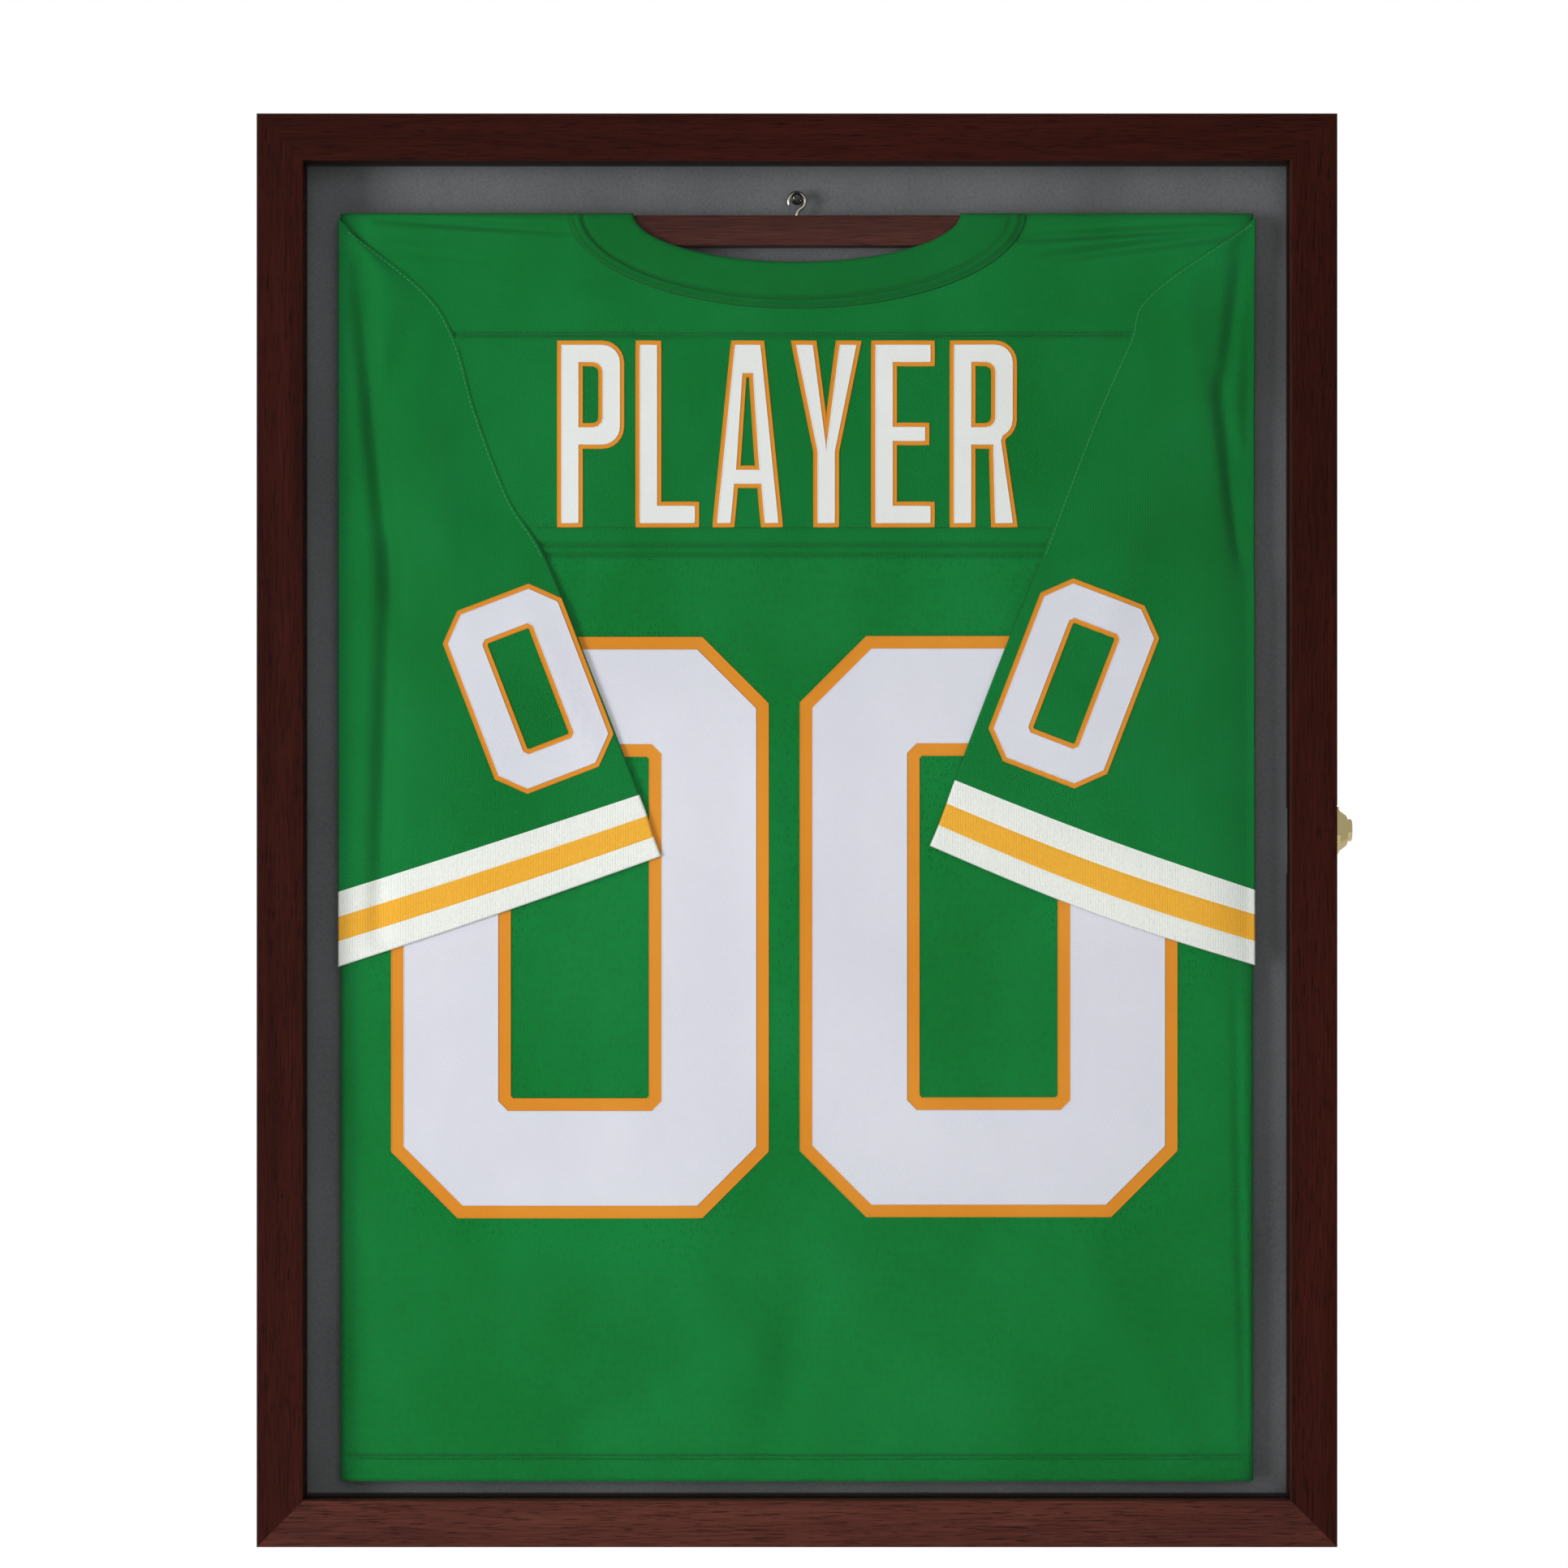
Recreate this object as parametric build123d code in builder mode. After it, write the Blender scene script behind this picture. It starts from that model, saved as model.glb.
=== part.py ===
"""A wall-hung display case with a hinged, lockable acrylic door and a hanger bar that carries a jersey.

Millimetres. X runs to the right seen from the front, Y runs back to the wall and Z runs up. The origin is
the middle between the entry holes of the two keyhole plates, on the wall. A depth is a distance from the
wall, so a depth of 10 is at Y = -10. U and V are X and Z measured from the middle of the case.
"""

import os
from math import cos, radians, sin, sqrt

from build123d import *

os.makedirs("parts", exist_ok=True)

# Driving dimensions
CASE_WIDTH = 600
CASE_HEIGHT = 796
WALL_THICK = 24
DOOR_RAIL_WIDTH = 26
HANGER_DROP = 42  # keyhole entry holes below the top of the case

# Depths from the wall, in the order in which the pieces lie
BATTEN_FRONT = 8
PANEL_FRONT = 11
BOARD_FRONT = 14
FABRIC_FRONT = 15
CASE_FRONT = 38
DOOR_BACK = 39
BEAD_FRONT = 47
ACRYLIC_FRONT = 49
DOOR_FRONT = 57

# Wooden frames
CASE_RABBET = 12
DOOR_RABBET = 5
EDGE_ROUND = 0.8
SHEET_PLAY = 0.5
BEAD_PLAY = 0.2
BATTEN_HEIGHT = 59.5
DOWEL_RADIUS = 3
DOWEL_LENGTH = 22
CASE_DOWEL_DEPTHS = (22, 31)
DOOR_DOWEL_DEPTHS = (52.6,)
SCREW_PLAY = 0.05
BUMPER = (4, 0.7)
BUMPERS_U = (-288, 288)
BUMPERS_V = (-345, 345)

# Brads that hold the glazing beads
BRADS_ACROSS = (-210, -70, 70, 210)
BRADS_UP = (-300, -150, 0, 150, 300)
BRAD = (0.5, 14)
BRAD_DEPTH = 43
BRAD_SUNK = 0.3

# Screws through the back and the batten, and the recess in every screw's head
BACK_SCREWS_UP = (-300, -100, 100, 300)
BACK_SCREWS_ACROSS = (-180, 0, 180)
BATTEN_SCREWS_ACROSS = (-260, -130, 0, 130, 260)
CROSS_RECESS = (0.25, 0.55, 1.2)  # width in head radii, depth in head heights, span in head radii

# Keyhole plates
KEYHOLE_SPACING = 400
KEYHOLE_ENTRY_RADIUS = 4.5
KEYHOLE_SLOT_RADIUS = 2.25
KEYHOLE_SLOT_RISE = 11
KEYHOLE_PLATE = (16, 44, 1.5)
KEYHOLE_PLATE_RISE = 4
KEYHOLE_PLATE_CORNER = 3
KEYHOLE_POCKET = (11, 22, 5)
KEYHOLE_SCREW_OFFSETS = (-13, 20)

# Hinges
PIN_U = -CASE_WIDTH / 2 - 0.15
PIN_DEPTH = 38.5
PIN_RADIUS = 0.8
PIN_PLAY = 0.05
PIN_HEAD = (1.3, 0.8)
KNUCKLE_RADIUS = 1.6
KNUCKLE_GAP = 0.2
KNUCKLE_CLEARANCE = 2.1
HINGE_HEIGHT = 38
HINGE_CENTRES = {"upper": 284, "lower": -273}
LEAF_THICK = 0.8
LEAF_U = (-298, -284)
CASE_LEAF_FRONT = 38.4
DOOR_LEAF_BACK = 38.6
HINGE_SCREW_U = -290
HINGE_SCREW_V = 12
HINGE_GROOVE = 3  # how far the knuckles' groove runs past the leaf

# Lock, on an axis along X through the right wall
LOCK_DEPTH = 24
LOCK_V = 0
LOCK_WALL = 288  # where the nut bears on the wood
FLANGE = (13.75, 4)
BEZEL = (12.6, 8.6, 5)
BEZEL_ROUND = 1.4
BARREL_RADIUS = 7
BARREL_PLAY = 0.1
BARREL_END = 285
PLUG_HEAD = (6.5, 305, 311.6)
PLUG_ROUND = 0.6
PLUG_SHAFT_RADIUS = 5
PLUG_SQUARE = 6
PLUG_PLAY = 0.05
KEYWAY = (1.6, 7.4, 5)
NUT_ACROSS_FLATS = 17
NUT_THICK = 2.6
CAM = (282.4, 284.9)
CAM_HUB_RADIUS = 6.5
CAM_ARM_WIDTH = 8
CAM_FINGER = (18.5, 22.5)
CAM_FINGER_ANGLE = 25
CAM_SWEEP_RADIUS = 23.3
CAM_PLAY = 0.1
CAM_SCREW_HEAD = (3.8, 2.2)
CAM_SCREW = (1.5, 8.5)
CAM_SCREW_BORE = (1.55, 9)
CAM_SCREW_RECESS = (5, 1)
LOCK_POCKET_V = (-25, 12)
STRIKE_U = (280.5, 296)
STRIKE_V = (-29, 19)
STRIKE_THICK = 1.2
STRIKE_PLAY = 0.1
STRIKE_SLOT_U = (281.9, 285.5)
STRIKE_SLOT_V = (-17.5, 5.2)
CAM_ROOM_U = (281.6, 285.8)  # the hollow in the stile that the cam's finger turns in
STRIKE_SCREWS = ((291, -24), (291, 13))

# Hanger, which swings on the peg
PEG_V = 355.1
PEG_RADIUS = 1.6
PEG_TIP = 2
PEG_COLLAR = (3, 1)
PEG_HEAD = (3, 25.4, 27.9)
PEG_ROUND = 1.9
HOOK_DEPTH = 24
HOOK_V = 353.35
HOOK_WIRE_RADIUS = 1.15
HOOK_BEND_RADIUS = 4.6
HOOK_JOIN_ANGLE = 60
HOOK_LOOP_ANGLE = 265
HOOK_SHANK = 10
BAR_SIZE = (485, 17, 13)
BAR_TOP = 344.6

# Jersey
CLOTH = 1
JERSEY_TOP = 346
JERSEY_BOTTOM = -365.5
JERSEY_HALF_WIDTH = 256.3
JERSEY_REAR = 15.5
JERSEY_FRONT = 32.5
YOKE_SEAM = 278
NECK_HALF_WIDTH = 91.3
NECK_LOW = 318
NECK_LOW_INSIDE = 293
COLLAR_HALF_WIDTH = 128.2
COLLAR_LOW = 291.5
COLLAR_THICK = 1
TWILL = 0.8
SLEEVE_BACK = 34
SLEEVE_THICK = 1.6
SLEEVE_OUTLINE = [
    (-255.8, 332),
    (-207, 301.5),
    (-189, 273.5),
    (-175.5, 237),
    (-155.5, 186.5),
    (-138, 153),
    (-75.5, -13.5),
    (-166.5, -54),
    (-255.8, -77),
]
NUMBER_CENTRES = (-122, 107)
NUMBER_SIZE = (210, 325, 66)
NUMBER_V = -55
NUMBER_CHAMFER = (36, 12)
SLEEVE_NUMBER = (60, 102, 20)
SLEEVE_NUMBER_AT = (150, 80)
SLEEVE_NUMBER_LEAN = 21
SLEEVE_NUMBER_CHAMFER = (12, 4)
LETTER_BOTTOM = 170.5
LETTER_HEIGHT = 105
LETTER_WIDTH = 36
LETTER_PITCH = 44
LETTER_STROKE = 12.5
WORD_MIDDLE = -5
LETTER_INSET = 4  # how much shorter the middle bar of the E is
LETTER_LAP = 3  # how far a leg runs into the stroke that it leaves

CENTRE_Z = HANGER_DROP - CASE_HEIGHT / 2
HALF_WIDTH = CASE_WIDTH / 2
HALF_HEIGHT = CASE_HEIGHT / 2
SIDES = ("top", "right", "bottom", "left")
BASE = (Align.CENTER, Align.CENTER, Align.MIN)


def facing_front(depth, u=0.0, v=0.0):
    """A plane at this depth, with U and V as its axes, facing the viewer."""
    return Plane(origin=(u, -depth, CENTRE_Z + v), x_dir=(1, 0, 0), z_dir=(0, -1, 0))


def facing_wall(depth, u=0.0, v=0.0):
    """A plane at this depth, facing the wall."""
    return Plane(origin=(u, -depth, CENTRE_Z + v), x_dir=(-1, 0, 0), z_dir=(0, 1, 0))


def facing_right(x, depth=LOCK_DEPTH, v=LOCK_V):
    """A plane across X, with Y and V as its axes."""
    return Plane(origin=(x, -depth, CENTRE_Z + v), x_dir=(0, 1, 0), z_dir=(1, 0, 0))


def write(piece, label):
    piece.part.label = label
    export_step(piece.part, f"parts/{label}.step")


def slab(low, high, back, front, mode=Mode.ADD):
    """A block between two corners in U and V, from one depth to another."""
    middle = ((low[0] + high[0]) / 2, (low[1] + high[1]) / 2)
    with BuildSketch(facing_front(back, *middle)) as outline:
        Rectangle(high[0] - low[0], high[1] - low[1])
    extrude(outline.sketch, amount=front - back, mode=mode)


def window(half_width, half_height, back, front):
    """Cuts a rectangle about the middle of the case."""
    slab((-half_width, -half_height), (half_width, half_height), back, front, Mode.SUBTRACT)


def mitred_rail(side, half_width, half_height, width, back, front):
    """One side of a rectangular frame, its ends cut at 45 degrees."""
    outer = [(-1, 1), (1, 1), (1, -1), (-1, -1)]
    first = SIDES.index(side)
    ends = [outer[first], outer[(first + 1) % 4]]
    rim = [(a * half_width, b * half_height) for a, b in ends]
    bore = [(a * (half_width - width), b * (half_height - width)) for a, b in ends]
    with BuildSketch(facing_front(back)) as outline:
        with BuildLine():
            Polyline(rim[0], rim[1], bore[1], bore[0], close=True)
        make_face()
    extrude(outline.sketch, amount=front - back)


def dowel_places(half_width, half_height, width, depths):
    """A plane across the mitre at each corner of a frame, at the middle of its dowels."""
    places = []
    for right in (-1, 1):
        for up in (-1, 1):
            for depth in depths:
                middle = (
                    right * (half_width - width / 2),
                    -depth,
                    CENTRE_Z + up * (half_height - width / 2),
                )
                places.append(Plane(origin=middle, x_dir=(0, 1, 0), z_dir=(right, 0, -up)))
    return places


def dowels(places, play=0.0, mode=Mode.ADD):
    for place in places:
        with Locations(place.location):
            Cylinder(DOWEL_RADIUS + play, DOWEL_LENGTH + 2 * play, mode=mode)


class Screw:
    """A screw's sizes. A sunk head is a cone below the surface, and a raised one stands on it."""

    def __init__(self, shank, head, head_height, length, sunk=True):
        self.shank = shank
        self.head = head
        self.head_height = head_height
        self.length = length
        self.sunk = sunk


BACK_SCREW = Screw(shank=1.5, head=3, head_height=2, length=16, sunk=False)
BATTEN_SCREW = Screw(shank=1.75, head=3.5, head_height=2, length=25)
KEYHOLE_SCREW = Screw(shank=1.3, head=2.7, head_height=1.5, length=6.5)
HINGE_SCREW = Screw(shank=1.1, head=1.9, head_height=0.8, length=12)
STRIKE_SCREW = Screw(shank=1.1, head=2.2, head_height=1.2, length=11)


def screws(size, places):
    """Adds a screw at each plane, whose normal points the way that the screw goes in."""
    for place in places:
        with Locations(place.location):
            Cylinder(size.shank, size.length, align=BASE)
            if size.sunk:
                Cone(size.head, size.shank, size.head_height, align=BASE)
        if not size.sunk:
            with Locations(place.offset(-size.head_height).location):
                Cylinder(size.head, size.head_height, align=BASE)
    for place in places:
        top = place if size.sunk else place.offset(-size.head_height)
        width = CROSS_RECESS[0] * size.head
        deep = CROSS_RECESS[1] * size.head_height
        span = CROSS_RECESS[2] * size.head
        with Locations(top.location):
            Box(span, width, deep, align=BASE, mode=Mode.SUBTRACT)
            Box(width, span, deep, align=BASE, mode=Mode.SUBTRACT)


def screw_holes(size, places):
    """Cuts the holes that the same screws go through."""
    for place in places:
        with Locations(place.location):
            Cylinder(size.shank + SCREW_PLAY, size.length + SCREW_PLAY, align=BASE, mode=Mode.SUBTRACT)
            if size.sunk:
                Cone(
                    size.head + SCREW_PLAY,
                    size.shank + SCREW_PLAY,
                    size.head_height,
                    align=BASE,
                    mode=Mode.SUBTRACT,
                )


# Where the fasteners go
LEDGE = CASE_RABBET / 2
LEDGE_U = HALF_WIDTH - WALL_THICK + LEDGE
LEDGE_V = HALF_HEIGHT - WALL_THICK + LEDGE
BACK_SCREWS = [(side * LEDGE_U, v) for side in (-1, 1) for v in BACK_SCREWS_UP]
BACK_SCREWS += [(u, -LEDGE_V) for u in BACK_SCREWS_ACROSS]
back_screw_places = [facing_front(BATTEN_FRONT, u, v) for u, v in BACK_SCREWS]
batten_screw_places = [facing_front(0, u, LEDGE_V) for u in BATTEN_SCREWS_ACROSS]
KEYHOLE_V = HALF_HEIGHT - HANGER_DROP
keyhole_centres = [(side * KEYHOLE_SPACING / 2, KEYHOLE_V) for side in (-1, 1)]
keyhole_screw_places = [
    facing_front(0, u, v + rise) for u, v in keyhole_centres for rise in KEYHOLE_SCREW_OFFSETS
]
hinge_screw_spots = [
    (HINGE_SCREW_U, v + rise)
    for v in HINGE_CENTRES.values()
    for rise in (-HINGE_SCREW_V, HINGE_SCREW_V)
]
case_hinge_screw_places = [facing_wall(CASE_LEAF_FRONT, u, v) for u, v in hinge_screw_spots]
door_hinge_screw_places = [facing_front(DOOR_LEAF_BACK, u, v) for u, v in hinge_screw_spots]
strike_screw_places = [facing_front(DOOR_BACK, u, v) for u, v in STRIKE_SCREWS]
case_dowel_places = dowel_places(HALF_WIDTH, HALF_HEIGHT, WALL_THICK, CASE_DOWEL_DEPTHS)
door_dowel_places = dowel_places(HALF_WIDTH, HALF_HEIGHT, DOOR_RAIL_WIDTH, DOOR_DOWEL_DEPTHS)


def hinge_recess(v, back, front):
    """Cuts the seat of one hinge leaf, and the groove that the knuckles turn in."""
    half = HINGE_HEIGHT / 2
    slab((LEAF_U[0] - HINGE_GROOVE, v - half), (LEAF_U[1], v + half), back, front, Mode.SUBTRACT)
    with Locations((PIN_U, -PIN_DEPTH, CENTRE_Z + v)):
        Cylinder(KNUCKLE_CLEARANCE, HINGE_HEIGHT + HINGE_GROOVE, mode=Mode.SUBTRACT)


# Case walls
for side in SIDES:
    with BuildPart() as case_wall:
        mitred_rail(side, HALF_WIDTH, HALF_HEIGHT, WALL_THICK, 0, CASE_FRONT)
        window(
            HALF_WIDTH - WALL_THICK + CASE_RABBET,
            HALF_HEIGHT - WALL_THICK + CASE_RABBET,
            0,
            FABRIC_FRONT,
        )
        dowels(case_dowel_places, SCREW_PLAY, Mode.SUBTRACT)
        screw_holes(BACK_SCREW, back_screw_places)
        if side == "top":
            screw_holes(BATTEN_SCREW, batten_screw_places)
        if side == "left":
            for hinge_v in HINGE_CENTRES.values():
                hinge_recess(hinge_v, CASE_LEAF_FRONT - LEAF_THICK, CASE_FRONT)
            screw_holes(HINGE_SCREW, case_hinge_screw_places)
        if side == "right":
            with Locations(facing_right(LOCK_WALL).location):
                Cylinder(BARREL_RADIUS + BARREL_PLAY, WALL_THICK, align=BASE, mode=Mode.SUBTRACT)
            slab(
                (HALF_WIDTH - WALL_THICK, LOCK_POCKET_V[0]),
                (LOCK_WALL, LOCK_POCKET_V[1]),
                FABRIC_FRONT,
                CASE_FRONT,
                Mode.SUBTRACT,
            )
    write(case_wall, f"case_{side}_{'rail' if side in ('top', 'bottom') else 'side'}")

with BuildPart() as case_dowels:
    dowels(case_dowel_places)
write(case_dowels, "case_dowels")

# Back of the case: cloth on a board, a hardboard panel, and the batten that hangs on the wall
SHEET_HALF_WIDTH = HALF_WIDTH - WALL_THICK + CASE_RABBET - SHEET_PLAY
SHEET_HALF_HEIGHT = HALF_HEIGHT - WALL_THICK + CASE_RABBET - SHEET_PLAY
for label, back, front in (
    ("back_panel", BATTEN_FRONT, PANEL_FRONT),
    ("backing_board", PANEL_FRONT, BOARD_FRONT),
    ("backing_fabric", BOARD_FRONT, FABRIC_FRONT),
):
    with BuildPart() as sheet:
        slab(
            (-SHEET_HALF_WIDTH, -SHEET_HALF_HEIGHT),
            (SHEET_HALF_WIDTH, SHEET_HALF_HEIGHT),
            back,
            front,
        )
        screw_holes(BACK_SCREW, back_screw_places)
        screw_holes(BATTEN_SCREW, batten_screw_places)
        with Locations(facing_front(BATTEN_FRONT, 0, PEG_V).location):
            Cylinder(PEG_RADIUS + SCREW_PLAY, FABRIC_FRONT, align=BASE, mode=Mode.SUBTRACT)
    write(sheet, label)

with BuildPart() as back_panel_screws:
    screws(BACK_SCREW, back_screw_places)
write(back_panel_screws, "back_panel_screws")

with BuildPart() as hanging_batten:
    slab(
        (-SHEET_HALF_WIDTH, SHEET_HALF_HEIGHT - BATTEN_HEIGHT),
        (SHEET_HALF_WIDTH, SHEET_HALF_HEIGHT),
        0,
        BATTEN_FRONT,
    )
    for u, v in keyhole_centres:
        with BuildSketch(facing_front(0, u, v + KEYHOLE_PLATE_RISE)):
            RectangleRounded(KEYHOLE_PLATE[0], KEYHOLE_PLATE[1], KEYHOLE_PLATE_CORNER)
        extrude(amount=KEYHOLE_PLATE[2], mode=Mode.SUBTRACT)
        with BuildSketch(facing_front(KEYHOLE_PLATE[2], u, v + KEYHOLE_SLOT_RISE / 2)):
            Rectangle(KEYHOLE_POCKET[0], KEYHOLE_POCKET[1])
        extrude(amount=KEYHOLE_POCKET[2], mode=Mode.SUBTRACT)
    screw_holes(KEYHOLE_SCREW, keyhole_screw_places)
    screw_holes(BATTEN_SCREW, batten_screw_places)
    with Locations(facing_front(PEG_TIP, 0, PEG_V).location):
        Cylinder(PEG_RADIUS + SCREW_PLAY, BATTEN_FRONT, align=BASE, mode=Mode.SUBTRACT)
write(hanging_batten, "hanging_batten")

with BuildPart() as batten_screws:
    screws(BATTEN_SCREW, batten_screw_places)
write(batten_screws, "batten_screws")

with BuildPart() as keyhole_plates:
    for u, v in keyhole_centres:
        with BuildSketch(facing_front(0, u, v + KEYHOLE_PLATE_RISE)):
            RectangleRounded(KEYHOLE_PLATE[0], KEYHOLE_PLATE[1], KEYHOLE_PLATE_CORNER)
        extrude(amount=KEYHOLE_PLATE[2])
        with BuildSketch(facing_front(0, u, v)):
            Circle(KEYHOLE_ENTRY_RADIUS)
            with Locations((0, KEYHOLE_SLOT_RISE / 2)):
                Rectangle(2 * KEYHOLE_SLOT_RADIUS, KEYHOLE_SLOT_RISE)
            with Locations((0, KEYHOLE_SLOT_RISE)):
                Circle(KEYHOLE_SLOT_RADIUS)
        extrude(amount=KEYHOLE_PLATE[2], mode=Mode.SUBTRACT)
    screw_holes(KEYHOLE_SCREW, keyhole_screw_places)
write(keyhole_plates, "keyhole_plates")

with BuildPart() as keyhole_screws:
    screws(KEYHOLE_SCREW, keyhole_screw_places)
write(keyhole_screws, "keyhole_screws")

# Peg that the hanger hangs on, screwed through the back into the batten
with BuildPart() as hanger_peg:
    with Locations(facing_front(PEG_TIP, 0, PEG_V).location):
        Cylinder(PEG_RADIUS, PEG_HEAD[1] - PEG_TIP, align=BASE)
    with Locations(facing_front(FABRIC_FRONT, 0, PEG_V).location):
        Cylinder(PEG_COLLAR[0], PEG_COLLAR[1], align=BASE)
    with Locations(facing_front(PEG_HEAD[1], 0, PEG_V).location):
        Cylinder(PEG_HEAD[0], PEG_HEAD[2] - PEG_HEAD[1], align=BASE)
    fillet(hanger_peg.edges().filter_by(GeomType.CIRCLE).group_by(Axis.Y)[0], radius=PEG_ROUND)
write(hanger_peg, "hanger_peg")

with BuildPart() as door_bumpers:
    for u in BUMPERS_U:
        for v in BUMPERS_V:
            with Locations(facing_front(CASE_FRONT, u, v).location):
                Cylinder(BUMPER[0], BUMPER[1], align=BASE)
write(door_bumpers, "door_bumpers")


# Hinges
def knuckle(v_low, v_high):
    """A length of the hinge barrel."""
    with Locations((PIN_U, -PIN_DEPTH, CENTRE_Z + (v_low + v_high) / 2)):
        Cylinder(KNUCKLE_RADIUS, v_high - v_low)


def pin_bore(v):
    with Locations((PIN_U, -PIN_DEPTH, CENTRE_Z + v)):
        Cylinder(PIN_RADIUS + PIN_PLAY, 2 * HINGE_HEIGHT, mode=Mode.SUBTRACT)


for name, hinge_v in HINGE_CENTRES.items():
    half = HINGE_HEIGHT / 2
    middle_half = HINGE_HEIGHT / 6
    with BuildPart() as case_leaf:
        slab(
            (LEAF_U[0], hinge_v - half),
            (LEAF_U[1], hinge_v + half),
            CASE_LEAF_FRONT - LEAF_THICK,
            CASE_LEAF_FRONT,
        )
        for low, high in ((-half, -middle_half - KNUCKLE_GAP), (middle_half + KNUCKLE_GAP, half)):
            slab(
                (PIN_U, hinge_v + low),
                (LEAF_U[0], hinge_v + high),
                CASE_LEAF_FRONT - LEAF_THICK,
                CASE_LEAF_FRONT,
            )
            knuckle(hinge_v + low, hinge_v + high)
        pin_bore(hinge_v)
        screw_holes(HINGE_SCREW, case_hinge_screw_places)
    write(case_leaf, f"{name}_hinge_case_leaf")

    with BuildPart() as door_leaf:
        slab(
            (LEAF_U[0], hinge_v - half),
            (LEAF_U[1], hinge_v + half),
            DOOR_LEAF_BACK,
            DOOR_LEAF_BACK + LEAF_THICK,
        )
        slab(
            (PIN_U, hinge_v - middle_half),
            (LEAF_U[0], hinge_v + middle_half),
            DOOR_LEAF_BACK,
            DOOR_LEAF_BACK + LEAF_THICK,
        )
        knuckle(hinge_v - middle_half, hinge_v + middle_half)
        pin_bore(hinge_v)
        screw_holes(HINGE_SCREW, door_hinge_screw_places)
    write(door_leaf, f"{name}_hinge_door_leaf")

    with BuildPart() as hinge_pin:
        with Locations((PIN_U, -PIN_DEPTH, CENTRE_Z + hinge_v)):
            Cylinder(PIN_RADIUS, HINGE_HEIGHT)
        for end in (-1, 1):
            with Locations((PIN_U, -PIN_DEPTH, CENTRE_Z + hinge_v + end * (half + PIN_HEAD[1] / 2))):
                Cylinder(PIN_HEAD[0], PIN_HEAD[1])
    write(hinge_pin, f"{name}_hinge_pin")

with BuildPart() as hinge_case_screws:
    screws(HINGE_SCREW, case_hinge_screw_places)
write(hinge_case_screws, "hinge_case_screws")

with BuildPart() as hinge_door_screws:
    screws(HINGE_SCREW, door_hinge_screw_places)
write(hinge_door_screws, "hinge_door_screws")

# Lock: a barrel through the right wall, held by a nut, with a plug that turns the cam
with BuildPart() as lock_housing:
    with BuildSketch(facing_right(BARREL_END)):
        Circle(BARREL_RADIUS)
    extrude(amount=HALF_WIDTH - BARREL_END)
    with BuildSketch(facing_right(HALF_WIDTH)):
        Circle(FLANGE[0])
    extrude(amount=FLANGE[1])
    with Locations(facing_right(HALF_WIDTH + FLANGE[1]).location):
        Cone(BEZEL[0], BEZEL[1], BEZEL[2], align=BASE)
    fillet(lock_housing.edges().filter_by(GeomType.CIRCLE).group_by(Axis.X)[-1], radius=BEZEL_ROUND)
    with Locations(facing_right(BARREL_END).location):
        Cylinder(PLUG_SHAFT_RADIUS + PLUG_PLAY, WALL_THICK, align=BASE, mode=Mode.SUBTRACT)
    with Locations(facing_right(PLUG_HEAD[1] - PLUG_PLAY).location):
        Cylinder(PLUG_HEAD[0] + PLUG_PLAY, WALL_THICK, align=BASE, mode=Mode.SUBTRACT)
write(lock_housing, "lock_housing")

with BuildPart() as lock_nut:
    with BuildSketch(facing_right(LOCK_WALL - NUT_THICK)):
        RegularPolygon(NUT_ACROSS_FLATS / 2, 6, major_radius=False, rotation=30)
        Circle(BARREL_RADIUS + SCREW_PLAY, mode=Mode.SUBTRACT)
    extrude(amount=NUT_THICK)
write(lock_nut, "lock_nut")

with BuildPart() as lock_plug:
    with BuildSketch(facing_right(BARREL_END)):
        Circle(PLUG_SHAFT_RADIUS)
    extrude(amount=PLUG_HEAD[1] - BARREL_END)
    with BuildSketch(facing_right(PLUG_HEAD[1])):
        Circle(PLUG_HEAD[0])
    extrude(amount=PLUG_HEAD[2] - PLUG_HEAD[1])
    fillet(lock_plug.edges().filter_by(GeomType.CIRCLE).group_by(Axis.X)[-1], radius=PLUG_ROUND)
    with BuildSketch(facing_right(CAM[0])):
        Rectangle(PLUG_SQUARE, PLUG_SQUARE)
    extrude(amount=BARREL_END - CAM[0])
    with BuildSketch(facing_right(PLUG_HEAD[2])):
        Rectangle(KEYWAY[0], KEYWAY[1])
    extrude(amount=-KEYWAY[2], mode=Mode.SUBTRACT)
    with Locations(facing_right(CAM[0]).location):
        Cylinder(CAM_SCREW_BORE[0], CAM_SCREW_BORE[1], align=BASE, mode=Mode.SUBTRACT)
write(lock_plug, "lock_plug")

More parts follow.
